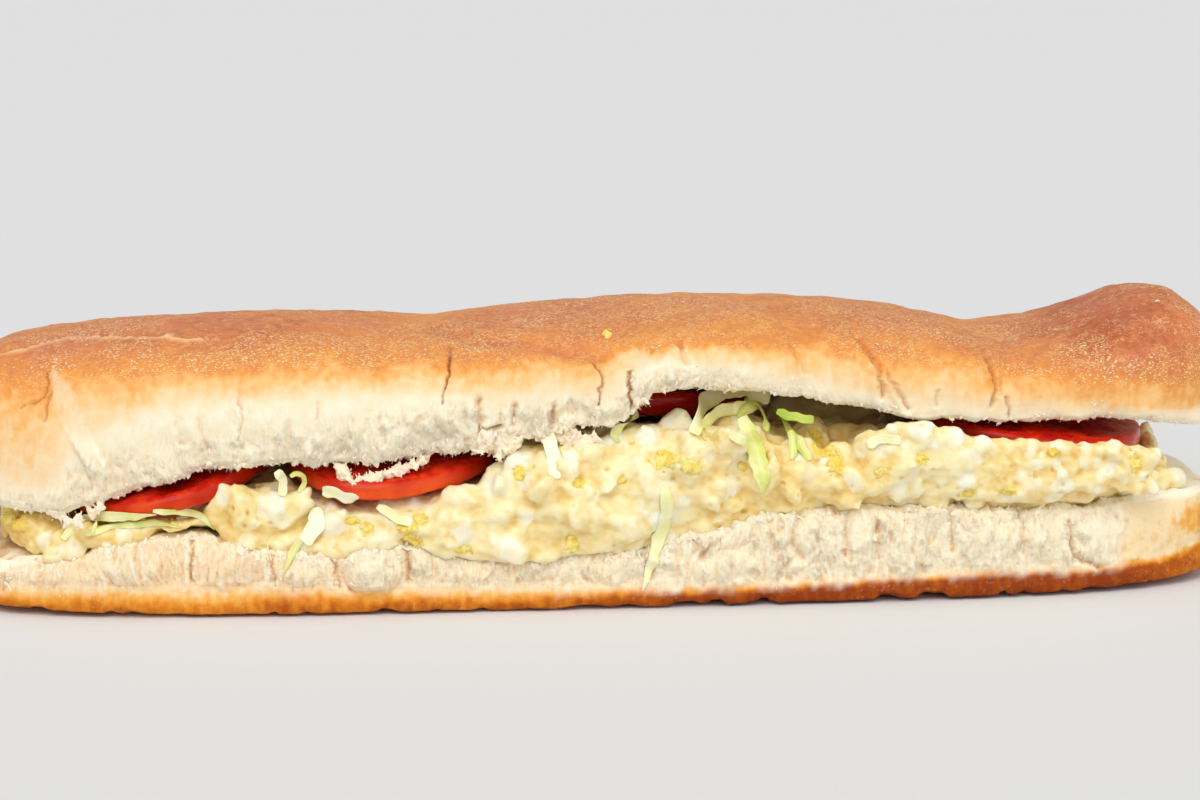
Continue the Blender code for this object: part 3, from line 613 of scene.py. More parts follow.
bottomRollValues = {
    # waves as in the upper half, and fine grit on the crust
    "broad": (8, 1.8), "fine": (2.0, 0.8), "tongues": ((2.2, 4, 5), 1.1), "crust": (2.6, 0.22),
    "grit": (1.1, 0.1), "tatters": (((1.0, 1.6, 4), 0.7), ((4.2, 4, 6), 0.8)),
    # height of the browned band along the roll, how deep its brown is and over how many millimetres it turns
    "band": [(-156, 6.6), (-141, 6.6), (-117, 6.6), (-94, 7.2), (-71, 6.4), (-47, 5.9), (-24, 5.4), (0, 4.9),
             (23, 4.8), (47, 4.9), (72, 5.8), (96, 6.2), (118, 6.0), (134, 6.2), (145, 8), (156, 12)],
    "tone": [(-156, 0.58), (-100, 0.6), (-60, 0.64), (-20, 0.7), (10, 0.8), (30, 0.92), (60, 0.98),
             (130, 0.95), (146, 0.7), (156, 0.6)],
    "turns": [(-156, 5.5), (-60, 5), (10, 3.4), (60, 1.8), (156, 1.8)],
    # how light the torn crumb is along the roll
    "light": [(-156, 0.34), (-110, 0.37), (-60, 0.42), (-20, 0.52), (10, 0.58), (156, 0.64)],
    "rough": [(-156, 0.6), (-100, 0.65), (-60, 0.8), (0, 0.85), (40, 1.0), (90, 0.9), (122, 0.8),
              (156, 0.4)],
    # where crust covers the right end, and its golden blotches: x, z and half sizes
    "skinned": 127.5,
    "blotches": [(149, 16.5, 9, 4.6), (152, 10, 5, 4)],
    # splits in the torn face, as the creases above
    "splits": [
        ([(-96.2, 19), (-95.7, 16.4), (-96.6, 10.5), (-95.8, 5)], 0.6, 1.1, 0.25),
        ([(-78, 17), (-77, 9)], 0.9, 0.9, 0.2), ([(7, 20), (10, 13), (12, 8)], 1.4, 1.4, 0.2),
        ([(20.5, 22), (21.7, 17.6), (24, 12)], 1.6, 1.4, 0.2),
        ([(47, 21), (45.5, 15), (48, 11.6)], 1.1, 1.1, 0.3),
        ([(40, 22), (40.6, 16), (42.6, 11.3)], 1.1, 0.9, 0.25), ([(58.6, 22), (58.4, 12)], 0.9, 0.9, 0.2),
        ([(66, 20), (66.4, 11)], 0.9, 0.9, 0.2), ([(-110, 20), (-108, 10)], 0.8, 0.5, 0.15),
        ([(-63, 15), (-62, 7)], 1.0, 1.3, 0.3), ([(-46, 16), (-45.5, 8)], 1.0, 1.3, 0.3),
        ([(84, 22), (84.5, 12)], 0.8, 1.0, 0.2), ([(101, 21), (102, 11)], 0.9, 0.9, 0.2),
        ([(113, 18), (115, 9), (122, 6)], 0.8, 1.2, 0.15), ([(128.5, 17), (128, 10)], 0.8, 1.0, 0.15),
    ],
    # puffs of crumb that stand out: x, z, half width, half height and how far
    "puffs": [(-54, 11, 7, 6.5, 3.0), (-112, 13, 9, 5, 0.8), (-88, 12, 7, 6, 0.8), (30, 9, 8, 5, 1.2),
              (50, 14, 6, 8, 1.0), (62.2, 15, 2.8, 9, 1.3), (93, 12, 9, 6, 0.8), (121, 13, 7, 6.5, 1.2),
              (2, 10, 7, 4, 0.6), (73, 13, 5, 7, 0.9), (14, 15, 4, 5, 0.8), (108, 14, 5, 6, 0.8),
              (-134, 11, 8, 5, 0.7), (-70, 12, 6, 5, 0.7), (-36, 8, 8, 3, 0.5)],
}


def waves(places, kind, seed):
    across, height = kind
    return grain(places, across, seed) * height


def tornEdge(places, side, top):
    # height of the torn edge at each step along the roll, read from the mesh of that half
    rows = []
    for step in np.arange(-halfLength, halfLength + 1, 3.0):
        near = places[np.abs(places[:, 0] - step) < 3.2]
        near = near[near[:, 1] * side > 0.8 * np.max(near[:, 1] * side)]
        rows.append((step, near[:, 2].min() if top else near[:, 2].max()))
    return rows


def edgeHeight(places, edges):
    return np.where(places[:, 1] < 0, along(edges[0], places[:, 0]), along(edges[1], places[:, 0]))


def stripInside(places):
    # how far inside the torn strip each point lies, below 0 outside it
    left, right = (along(topRollValues["strip"][::-1], places[:, 2], side) for side in (1, 2))
    inside = np.minimum(places[:, 0] - left, right - places[:, 0])
    return np.where((places[:, 2] > 57.8) | (places[:, 1] > -15), -9, inside)


cutLength, cutWidth = 148, 31  # half sizes of the cut face, which the filling hides


def refineRoll(obj, edges, top):
    # about 1 mm on the crust, and a quarter of that on the torn front and where lines are carved
    applyModifier(obj, "SUBSURF", levels=1, render_levels=1)
    upright = 1 if top else -1
    start = topRollValues["torn"] if top else bottomRollValues["band"]

    def outer(centres, facing):
        inner = (facing[:, 2] * upright < -0.25) & (np.abs(centres[:, 1]) < cutWidth)
        return ~(inner & (np.abs(centres[:, 0]) < cutLength))

    def tornFront(centres, facing):
        above = (centres[:, 2] - along(start, centres[:, 0])) * upright
        return outer(centres, facing) & (above < 1.0) & (centres[:, 1] < -20)

    def shown(centres, facing):
        # the torn front as it is seen, without the baked right end of the lower half
        baked = (centres[:, 0] > bottomRollValues["skinned"] + 2) & (upright < 0)
        inside = facing[:, 2] * upright < -0.7
        if not top:
            low = centres[:, 2] < along(start, centres[:, 0]) + 1
            inside = (facing[:, 2] > 0.7) | (centres[:, 0] < -143) | low
        return tornFront(centres, facing) & (facing[:, 1] < 0.1) & (centres[:, 1] < -25) & ~baked & ~inside

    def carved(centres, reach):
        near = np.full(len(centres), 99.0)
        for line, *_ in topRollValues["creases"]:
            near = np.minimum(near, np.abs(nearLine(centres[:, [0, 2]], line)))
        near = np.minimum(np.where(centres[:, 1] < -15, near, 99), -stripInside(centres))
        seam = np.abs(nearLine(centres[:, :2], topRollValues["seam"]))
        return np.minimum(near, np.where(centres[:, 2] > 50, seam - 0.3, 99)) < reach

    def tornLip(centres, facing):
        away = (centres[:, 2] - edgeHeight(centres, edges)) * upright
        return outer(centres, facing) & (away < 1.8) & (centres[:, 1] > 20)

    splitFaces(obj, outer)
    for reach, wanted in ((1.6, tornFront), (1.1, shown)):
        splitFaces(obj, lambda centres, facing: wanted(centres, facing) | (top & carved(centres, reach)))
    splitFaces(obj, tornLip)


softTone = 0.35  # a crease that is paler than this is a soft fold


def carve(places, facing, creases, seed):
    # depth of all creases at each point, and how dark their painted shade is; the right side of a soft fold
    # stands up
    depth = np.zeros(len(places))
    dark = np.zeros(len(places))
    front = eased(-facing[:, 1], 0.15, 0.5) * (places[:, 1] < -15)
    jag = grain(places, 1.9, seed) * 0.5 + grain(places, 0.7, seed + 5) * 0.25
    flat = places[:, [0, 2]] + np.column_stack([jag, grain(places, 1.9, seed + 9) * 0.4])
    for line, width, deep, tone in creases:
        away = nearLine(flat, line)
        depth += deep * peak(away, width) * front
        if tone < softTone:
            depth -= 0.4 * deep * peak(away - 1.7 * width, 1.3 * width) * front
        dark = np.maximum(dark, tone * peak(away, 0.6 * width) * front)
    return depth, dark


def billow(values):
    # bumps that stay round at their foot
    return values * values / (np.abs(values) + 0.15)


def tornRelief(places, seed, rough):
    # torn crumb: soft tufts, leaning threads, fuzz and a few hollows
    kinds = crumbValues
    leant = places + waves(places, kinds["lean"], seed + 40)[:, None] * np.array([1, 0, 0])
    tuftSize, tuftHeight = kinds["tufts"]
    threadSize, threadHeight = kinds["threads"]
    hollowSize, hollowHeight = kinds["hollows"]
    tufts = billow(grain(leant, tuftSize, seed)) * tuftHeight - 0.4
    threads = billow(grain(leant, threadSize, seed + 7)) * threadHeight - 0.12
    lumps = waves(places, kinds["lumps"], seed + 13)
    fuzz = waves(places, kinds["fuzz"], seed + 19)
    hollows = eased(grain(leant, hollowSize, seed + 23), 0.28, 0.62) * hollowHeight
    return (tufts + lumps + hollows) * rough + (threads + fuzz) * (0.5 + 0.5 * rough)


def tattered(places, kinds, seed):
    # how far the tatters of a torn edge hang out at each point
    small, large = kinds
    return waves(places, small, seed) + waves(places, large, seed + 6)


def paintRelief(obj, level):
    # painted shade: crumb is drawn tan in its hollows and white where it stands out
    out = level + 1.0 * standOut(obj, 4) + 0.5 * standOut(obj, 30)
    paint(obj, relief=np.clip(out, 0, 1))


def startRoll(node, name, top):
    # one half of the roll with its faces split small, and the height of its torn edge at front and back
    obj = copyOfNode(node, name)
    places, _ = readPoints(obj)
    edges = tornEdge(places, -1, top), tornEdge(places, 1, top)
    refineRoll(obj, edges, top)
    return obj, edges


def shapeTopRoll():
    values = topRollValues
    obj, edges = startRoll("bread_top", "rollTop", True)
    places, facing = readPoints(obj)
    x, y, z = places.T
    edge = edgeHeight(places, edges)
    inner = eased(-facing[:, 2], 0.25, 0.6) * (np.abs(y) < 36)
    broadSize, broadReach = values["broad"]
    broad = grain(places, broadSize, 3.1, 2)
    wobble = broad * broadReach + waves(places, values["fine"], 5.3)
    tongues = waves(places, values["tongues"], 15.3)
    # masks of the torn crumb, with the strip on the left
    crumbStart = along(values["white"], x)
    pale = eased(crumbStart + wobble * 0.7 + tongues - z, -2.0, 2.2)
    torn = eased(along(values["torn"], x) + wobble * 0.8 + tongues - z, -1.4, 2.6)
    torn = np.maximum(torn, eased(edge + 1.2 + 0.4 * wobble + 0.4 * tongues - z, -0.5, 0.7))
    strip = eased(stripInside(places) + 0.6 * grain(places, (1.6, 1.6, 2.2), 8.3), -0.4, 0.9)
    strip *= eased(z, 31, 36)
    crumb = np.maximum(np.maximum(np.maximum(torn, pale), inner), strip * (0.6 + 0.3 * eased(45 - z, 0, 5)))
    # browning, paler along the seam, and paler past the hump on the right as a painted highlight
    brownLine, goldLine = along(values["brown"], x), along(values["gold"], x)
    high = z + wobble * 0.6
    below = 0.06 + 0.34 * (high - crumbStart) / np.maximum(goldLine - crumbStart, 3)
    middle = 0.40 + 0.26 * (high - goldLine) / (brownLine - goldLine)
    above = 0.66 + 0.13 * eased(high - brownLine, 0, 6)
    bake = np.where(high < goldLine, below, np.where(high < brownLine, middle, above))
    bake = np.clip(bake, 0.04, 1)
    # browner towards the hump on the right, and paler past it, a painted highlight
    bake += eased(bake, 0.5, 0.75) * (0.13 * eased(x, 85, 135) - 0.22 * eased(x, 138, 152))
    bake -= eased(bake, 0.5, 0.75) * 0.05 * eased(x, -10, 20) * (1 - eased(x, 55, 85))
    upward = eased(facing[:, 2], 0.25, 0.5)
    seamAway = nearLine(places[:, :2], values["seam"]) + 0.5 * grain(places, 5, 9.9)
    seam = peak(seamAway, values["seamWidth"]) * (z > 50)
    seamShade = peak(np.abs(seamAway) - 1.3, 0.9) * upward
    foldAway = nearLine(places[:, :2], values["fold"]) + 0.6 * broad
    fold = peak(foldAway, values["foldWidth"]) * upward
    dots = peak(nearLine(places[:, :2], values["dots"]), values["dotsWidth"]) * upward
    dots = np.maximum(dots, along(values["speckled"], x) * eased(broad + 0.15 * upward, -0.25, 0.3))
    # darker beside the seam and in the fold: painted shade
    bake += (0.05 * seamShade + 0.1 * fold) * (bake > 0.4)
    depth, dark = carve(places, facing, values["creases"], 2.0)
    # relief of the crust and the crumb
    rough = along(values["rough"], x) * np.maximum(0.3 + 0.7 * torn, inner)
    relief = tornRelief(places, 1.0, rough)
    soft = broad * 0.45 + waves(places, values["crust"], 8.8)
    clusters = eased(grain(places, 14, 6), 0.0, 0.4)
    blisterSize, blisterHeight = values["blisters"]
    blisters = eased(pits(places, blisterSize, 4.4), 0.6, 0.9) * clusters * blisterHeight
    ridge = strip * eased(45 - z, 0, 6) * 1.9
    push = (1 - crumb) * (soft + blisters) + crumb * relief * 0.8 + ridge - 0.5 * strip - depth
    push += values["seamHeight"] * seam - values["seamHeight"] * seamShade - values["foldDepth"] * fold
    places += facing * push[:, None]
    # the torn edge hangs in uneven tatters
    nearEdge = eased(2.6 - (z - edge), 0, 2.4) * (np.abs(y) > 24)
    places[:, 2] += nearEdge * tattered(places, values["tatters"], 31) * np.clip(rough + 0.15, 0, 1)
    writePoints(obj, places)
    # the marks and the creases are drawn dark: painted shade
    for spot, reach in values["marks"]:
        away = np.linalg.norm(places - np.array(spot), axis=1)
        dark = np.maximum(dark, 1 - eased(away, 0.3 * reach, reach))
    paint(obj, bake=bake, crumb=crumb, low=0, under=0, dots=dots, pale=0.8 * seam * (bake > 0.4),
          torn=eased(np.maximum(torn, 0.3 * pale) * rough, 0.1, 0.9), crack=np.clip(dark, 0, 0.9))
    # lighter between x -100 and 0, and tan near the top of the torn strip, painted shade in its recess
    middle = eased(x, -100, -80) * (1 - eased(x, -20, 0))
    paintRelief(obj, 0.62 + 0.08 * middle - 0.2 * strip * eased(z, 43, 48))
    finishPiece(obj, breadMaterial, "bread", "bread_top")
    return obj, edges


def shapeBottomRoll():
    values = bottomRollValues
    obj, edges = startRoll("bread_bottom", "rollBottom", False)
    places, facing = readPoints(obj)
    x, y, z = places.T
    edge = edgeHeight(places, edges)
    inner = eased(facing[:, 2], 0.25, 0.6) * (np.abs(y) < 38)
    broadSize, broadReach = values["broad"]
    broad = grain(places, broadSize, 43.1, 2)
    wobble = broad * broadReach + waves(places, values["fine"], 45.3)
    tongues = waves(places, values["tongues"], 47.3)
    # masks of the torn crumb, with the crust that covers the right end, and the brown of the base
    band = along(values["band"], x)
    torn = eased(z - band + 0.6 * wobble + tongues, -1.6, 1.6)
    skin = eased(x + 1.8 * wobble, values["skinned"] - 4, values["skinned"] + 4)
    torn *= 1 - skin * (z < edge - 0.5)
    crumb = np.maximum(torn, inner * (z > band))
    under = along(values["tone"], x) * eased(band + 0.8 - z + 0.6 * wobble, -1.0, along(values["turns"], x))
    for cx, cz, wide, tall in values["blotches"]:
        away = np.sqrt(((x - cx) / wide) ** 2 + ((z - cz + wobble) / tall) ** 2)
        under = np.maximum(under, 0.34 * (1 - eased(away, 0.4, 1.2)))
    depth, dark = carve(places, facing, values["splits"], 12.0)
    relief = tornRelief(places, 51.0, along(values["rough"], x))
    soft = broad * 0.4 + waves(places, values["crust"], 48.8) + waves(places, values["grit"], 49)
    puff = np.zeros(len(places))
    for cx, cz, wide, tall, out in values["puffs"]:
        inside = 1 - ((x - cx) / wide) ** 2 - ((z - cz) / tall) ** 2
        puff += out * np.clip(inside, 0, 1) ** 0.7 * (y < -15)
    push = (1 - crumb) * soft + crumb * (relief * 0.75 + puff) - depth * crumb
    side = 1 - eased(-facing[:, 2], 0.6, 0.95)
    places += facing * (push * side)[:, None]
    nearEdge = eased(2.4 - (edge - z), 0, 2.2) * (np.abs(y) > 24)
    places[:, 2] += nearEdge * tattered(places, values["tatters"], 61)
    # the lower edge of the crust curls up a little in places, and the rest lies flat
    lumpy = 0.8 + 0.9 * eased(x, 10, 40) * (1 - eased(x, 100, 125))
    curled = eased(grain(places, (4.5, 9, 9), 71), 0.0, 0.45) * lumpy
    lift = curled * eased(3.4 - z, 0, 2.6) * (np.abs(y) > 32)
    places[:, 2] = np.maximum(places[:, 2] + lift, 0)
    writePoints(obj, places)
    rough = along(values["rough"], x)
    # the splits are drawn dark: painted shade
    paint(obj, bake=0.25, crumb=crumb, low=1, under=under, dots=0, pale=0,
          torn=eased(torn * rough, 0.3, 1.0) * (1 - skin), crack=np.clip(0.5 * dark, 0, 0.7) * crumb)
    paintRelief(obj, along(values["light"], x) + 0.06 * puff)
    finishPiece(obj, breadMaterial, "bread", "bread_bottom")
    return obj, edges


rollTop, topEdges = shapeTopRoll()
rollBottom, bottomEdges = shapeBottomRoll()
print("roll shaped")


# torn crumb that hangs at the edges of the cut

fringeValues = {
    "top": (1150, 350), "bottom": (1050, 350),  # how many tufts at the front and at the back
    "sizes": (0.24, 0.7), "grain": 0.25,
    # how far along the roll the tufts reach, also where crust covers the right end of the lower half,
    # and how far from the roll's middle line an edge has to be to carry them
    "reach": (-146, 146), "bottomEnd": 128, "outer": 24,
    "strayBit": (138.2, -17.9, 68.6), "strayTufts": ((-0.6, -0.3), (-0.2, 0), (0.2, -0.2), (0.6, -0.4)),
    # torn flaps that hang in front of the slices, each a row of x, z and size, with so many tufts at each
    "flapTufts": 8,
    "flaps": [
        [(-127, 24.4, 1.2), (-124.6, 23.6, 1.3), (-122, 23.6, 1.3), (-119.6, 24.6, 1.2), (-117.4, 25.8, 1.1)],
        [(-61, 34.5, 1.4), (-60.5, 33, 1.5), (-59.5, 31.6, 1.6), (-58, 30.6, 1.6), (-56.5, 30.8, 1.4),
         (-55, 31.6, 1.3), (-53.5, 32.2, 1.2), (-52, 32.8, 1.2), (-50.5, 33.2, 1.1), (-49, 33.5, 1.0),
         (-47.5, 33.9, 1.0), (-46, 34.4, 1.0), (-44, 35.2, 0.9), (-42.5, 36, 0.9), (-41, 36.8, 1.0)],
        [(-28.4, 41.4, 1.4), (-27, 40, 1.6), (-25.4, 38.8, 1.6), (-23.4, 38.2, 1.6), (-21.4, 38.8, 1.5),
         (-19.8, 40.2, 1.4), (-21.6, 41.2, 1.6), (-24, 41, 1.8), (-26.4, 42, 1.6), (-23, 42.6, 1.7)],
        [(-9, 41, 1.5), (-7.4, 39.8, 1.7), (-5.4, 39.4, 1.6), (-3.4, 40, 1.5), (-1.6, 41, 1.3),
         (-6, 41.6, 1.7)],
        [(8.4, 55.5, 0.8), (9.2, 53, 1.0), (8.6, 50.5, 1.1), (10.2, 50, 1.1), (10.6, 47.4, 1.2),
         (9, 46.4, 1.2), (11, 45.4, 1.1), (8, 44.6, 1.2)],
    ],
}


def tuftShape():
    # one small tuft: a ball with a few corners pulled out
    tuft = addPrimitive(bpy.ops.mesh.primitive_ico_sphere_add, subdivisions=2, radius=1)
    with editMode():
        bpy.ops.transform.resize(value=(1, 0.8, 1.15))
    markFaces(tuft, [index % 17 == 3 for index in range(len(tuft.data.polygons))])
    with editMode():
        bpy.ops.mesh.extrude_region_shrink_fatten(TRANSFORM_OT_shrink_fatten={"value": 0.7})
    return shapeOf(tuft)


farOut = 80  # a place in front of the whole roll, or behind it


def frontSurface(tree, x, z, side=-1):
    # where a line from the front, or the back, first meets a tree, and the way the surface faces there
    start = Vector((x, side * farOut, z)) * mm
    place, facing, _, _ = tree.ray_cast(start, Vector((0, -side, 0)))
    if place is None:
        return None, None
    return place / mm, facing


def tuftMatrix(draw, spot, size):
    turn = Euler((draw.uniform(-0.7, 0.7), draw.uniform(-0.9, 0.9), draw.uniform(0, 6.3)))
    sizes = [size * draw.uniform(*reach) for reach in ((0.6, 1.1), (0.5, 0.9), (0.8, 1.9))]
    return placed(spot, turn.to_matrix().to_4x4(), sizes)


def makeFringe(name, roll, edges, top, seed):
    values = fringeValues
    draw = random.Random(seed)
    shape = tuftShape()
    tree = surfaceTree([roll])
    copies = []
    for side, edge, count in zip((-1, 1), edges, values["top" if top else "bottom"]):
        for _ in range(count):
            x = draw.uniform(*values["reach"])
            rough = float(along(topRollValues["rough"], x)) if top else 0.8
            # tufts come in clumps, and fewer where the edge is clean
            if noise.noise(Vector((x / 5, side * 9.0, seed))) * 0.9 + draw.uniform(0, 0.5) > rough:
                continue
            size = draw.uniform(*values["sizes"]) * (0.6 + 0.4 * rough)
            # most tufts sit right at the edge and a few higher on the torn face
            away = abs(draw.gauss(0, 1.2 if draw.random() < 0.7 else 3.5)) + 0.3
            z = float(along(edge, x)) + (away if top else -away)
            place, _ = frontSurface(tree, x, z, side)
            if place is None or place.y * side < values["outer"] or (not top and x > values["bottomEnd"]):
                continue
            copies.append((shape, tuftMatrix(draw, (x, place.y - side * 0.5 * size, z), size)))
    if top:
        spot = Vector(values["strayBit"])
        for across, up in values["strayTufts"]:
            copies.append((shape, tuftMatrix(draw, spot + Vector((across, 0, up)), values["sizes"][0])))
    for row in values["flaps"] if top else []:
        for x, z, size in row:
            spot, _ = frontSurface(tree, x, z)
            if spot is None or spot.y > -30:
                spot, _ = frontSurface(tree, x, float(along(edges[0], x)) + 2.0)
            y = spot.y + 0.6 if spot else -37.0
            for _ in range(values["flapTufts"]):
                spot = (x + draw.gauss(0, 0.45), y + draw.gauss(0, 0.4), z + draw.gauss(0, 0.45))
                copies.append((shape, tuftMatrix(draw, spot, size * draw.uniform(0.45, 0.8))))
    obj = joinCopies(name, copies)
    applyModifier(obj, "REMESH", mode="VOXEL", voxel_size=values["grain"] * mm, use_smooth_shade=True)
    applyModifier(obj, "SMOOTH", factor=0.5, iterations=1)
    places, facing = readPoints(obj)
    fuzz = grain(places, (0.6, 0.6, 1.0), seed) * 0.2
    writePoints(obj, places + facing * fuzz[:, None])
    # the tufts are drawn darker where the fuzz sinks in and lighter where it stands out: painted shade
    paint(obj, relief=np.clip(0.72 + fuzz * 1.4, 0, 1))
    finishPiece(obj, fibreMaterial, "bread")


makeFringe("tornCrumbTop", rollTop, topEdges, True, 11)
makeFringe("tornCrumbBottom", rollBottom, bottomEdges, False, 12)
print("torn crumb added")


# fine fibres that stand off the torn crumb

fluffValues = {
    "top": 6500, "bottom": 8000,  # how many fibres
    "backShare": 0.25,  # how thickly they lie at the back, compared with the front
    "bends": (1.2, 2.4, -1.8),  # how far each kind of fibre bends
    "thick": (0.07, 0.12), "long": (0.25, 0.6), "rooted": 0.12,
    "clumps": 4.5,  # size of the clumps that the fibres gather in
}


def fibreShape(bend):
    # one curved fibre, three-sided, about 2 long and 1 in radius
    fibre = addPrimitive(bpy.ops.mesh.primitive_cone_add, vertices=3, radius1=0.4, radius2=1, depth=0.7,
                         location=(0, 0, 0.35))
    bpy.ops.object.transform_apply(location=True)
    for slide, narrowing in ((bend, 0.85), (2.2 * bend, 0.3)):
        top = max(fibre.data.polygons, key=lambda face: face.center.z)
        tip = top.center + Vector((slide, 0, 0.7))
        markFaces(fibre, [face.index == top.index for face in fibre.data.polygons])
        with editMode():
            bpy.ops.mesh.extrude_region_move(TRANSFORM_OT_translate={"value": (slide, 0, 0.7)})
            bpy.ops.transform.resize(value=(narrowing, narrowing, 1), center_override=tip)
    return shapeOf(fibre)


def makeFluff(name, roll, top, seed):
    draw = random.Random(seed)
    shapes = [fibreShape(bend) for bend in fluffValues["bends"]]
    loose = np.empty(len(roll.data.vertices), dtype=np.float32)
    roll.data.attributes["torn"].data.foreach_get("value", loose)
    corners = np.array([polygon.vertices[0] for polygon in roll.data.polygons])

    def wanted(centres, facing):
        clumps = eased(grain(centres, fluffValues["clumps"], seed), -0.3, 0.3) + 0.15
        shown = (np.abs(centres[:, 1]) > 25) & (facing[:, 2] * (-1 if top else 1) < 0.6)
        share = np.where(centres[:, 1] < 0, 1, fluffValues["backShare"])
        return loose[corners] ** 2 * clumps * shown * share

    copies, whites, lit = [], [], []
    for spot, facing in sampleSurface(roll, draw, fluffValues["top" if top else "bottom"], wanted):
        way = Vector((draw.gauss(0, 0.5), draw.gauss(0, 0.35), draw.gauss(-0.5 if top else 0.2, 0.8)))
        lie = (way - facing * way.dot(facing)).normalized() + facing * draw.uniform(0.0, 0.4)
        turn = lie.to_track_quat("Z", "Y").to_matrix().to_4x4()
        thick, long = draw.uniform(*fluffValues["thick"]), draw.uniform(*fluffValues["long"])
        spin = Matrix.Rotation(draw.uniform(0, 6.3), 4, "Z")
        place = spot - facing * fluffValues["rooted"]
        copies.append((draw.choice(shapes), placed(place, turn @ spin, (thick, thick, long))))
        whites.append(draw.uniform(0.6, 1.0))
        lit.append(facing)
    obj = joinCopies(name, copies)
    count = len(shapes[0][0])
    paint(obj, relief=np.repeat(whites, count))
    finishPiece(obj, fibreMaterial, "bread")
    # each fibre takes the light as the crumb under it does
    obj.data.normals_split_custom_set_from_vertices(np.repeat(np.array(lit), count, axis=0))


makeFluff("crumbFluffTop", rollTop, True, 13)
makeFluff("crumbFluffBottom", rollBottom, False, 14)
print("fluff added")


# the egg salad's finish

saladLook = {
    # the mayonnaise and the white run from the hollows, drawn darker as painted shade, to where the salad
    # stands out
    "mayo": [(0.0, (222, 178, 84)), (0.3, (239, 206, 124)), (0.6, (247, 227, 166)), (1.0, (252, 241, 206))],
    "white": [(0.0, (238, 224, 180)), (0.45, (249, 241, 212)), (1.0, (252, 247, 232))],
    "yolk": [(0.0, (242, 190, 48)), (0.5, (250, 216, 96)), (1.0, (253, 237, 162))],
}


def makeSaladMaterial():
    # white and yolk are painted on the mesh, and relief is how far it stands out, its hollows drawn deeper
    # yellow as painted shade
    material, tree, skin = newMaterial("eggSalad")
    plain = stretched(tree)
    blotch = mottled(tree, plain, 150.0)
    fleck = mottled(tree, plain, 700.0, detail=2.0)
    relief = attribute(tree, "relief")
    isYolk = attribute(tree, "yolk")
    base = maths(tree, "ADD", relief, -0.1)
    mayo = ramp(tree, maths(tree, "MULTIPLY_ADD", blotch, 0.2, base, clamp=True), saladLook["mayo"])
    white = ramp(tree, maths(tree, "MULTIPLY_ADD", fleck, 0.2, base, clamp=True), saladLook["white"])
    crumbs = maths(tree, "MULTIPLY_ADD", fleck, 0.6, maths(tree, "MULTIPLY", relief, 0.4))
    # a film of mayonnaise lies on everything, thinner in some places
    film = mottled(tree, plain, 160.0, 0.3, 0.6, 2.0)
    overWhite = maths(tree, "MULTIPLY_ADD", film, 0.45, 0.5)
    overYolk = maths(tree, "MULTIPLY_ADD", film, 0.4, 0.6)
    whiteShare = maths(tree, "MULTIPLY", attribute(tree, "white"), overWhite)
    yolkShare = maths(tree, "MULTIPLY", isYolk, overYolk)
    surface = blendColours(tree, whiteShare, mayo, white)
    surface = blendColours(tree, yolkShare, surface, ramp(tree, crumbs, saladLook["yolk"]))
    wet = spread(tree, blotch, 0.0, 1.0, 0.26, 0.42)
    fillSkin(tree, skin, {
        "Base Color": surface, "Roughness": maths(tree, "MULTIPLY_ADD", isYolk, 0.35, wet, clamp=True),
        "Normal": bumped(tree, noiseTexture(tree, plain, 800.0, 3.0), 0.16, 0.6),
        "Specular IOR Level": 0.5, "Subsurface Weight": 0.5, "Subsurface Radius": (1.0, 0.8, 0.45),
        "Subsurface Scale": 1.8 * mm})
    return material


saladMaterial = makeSaladMaterial()


# the egg salad

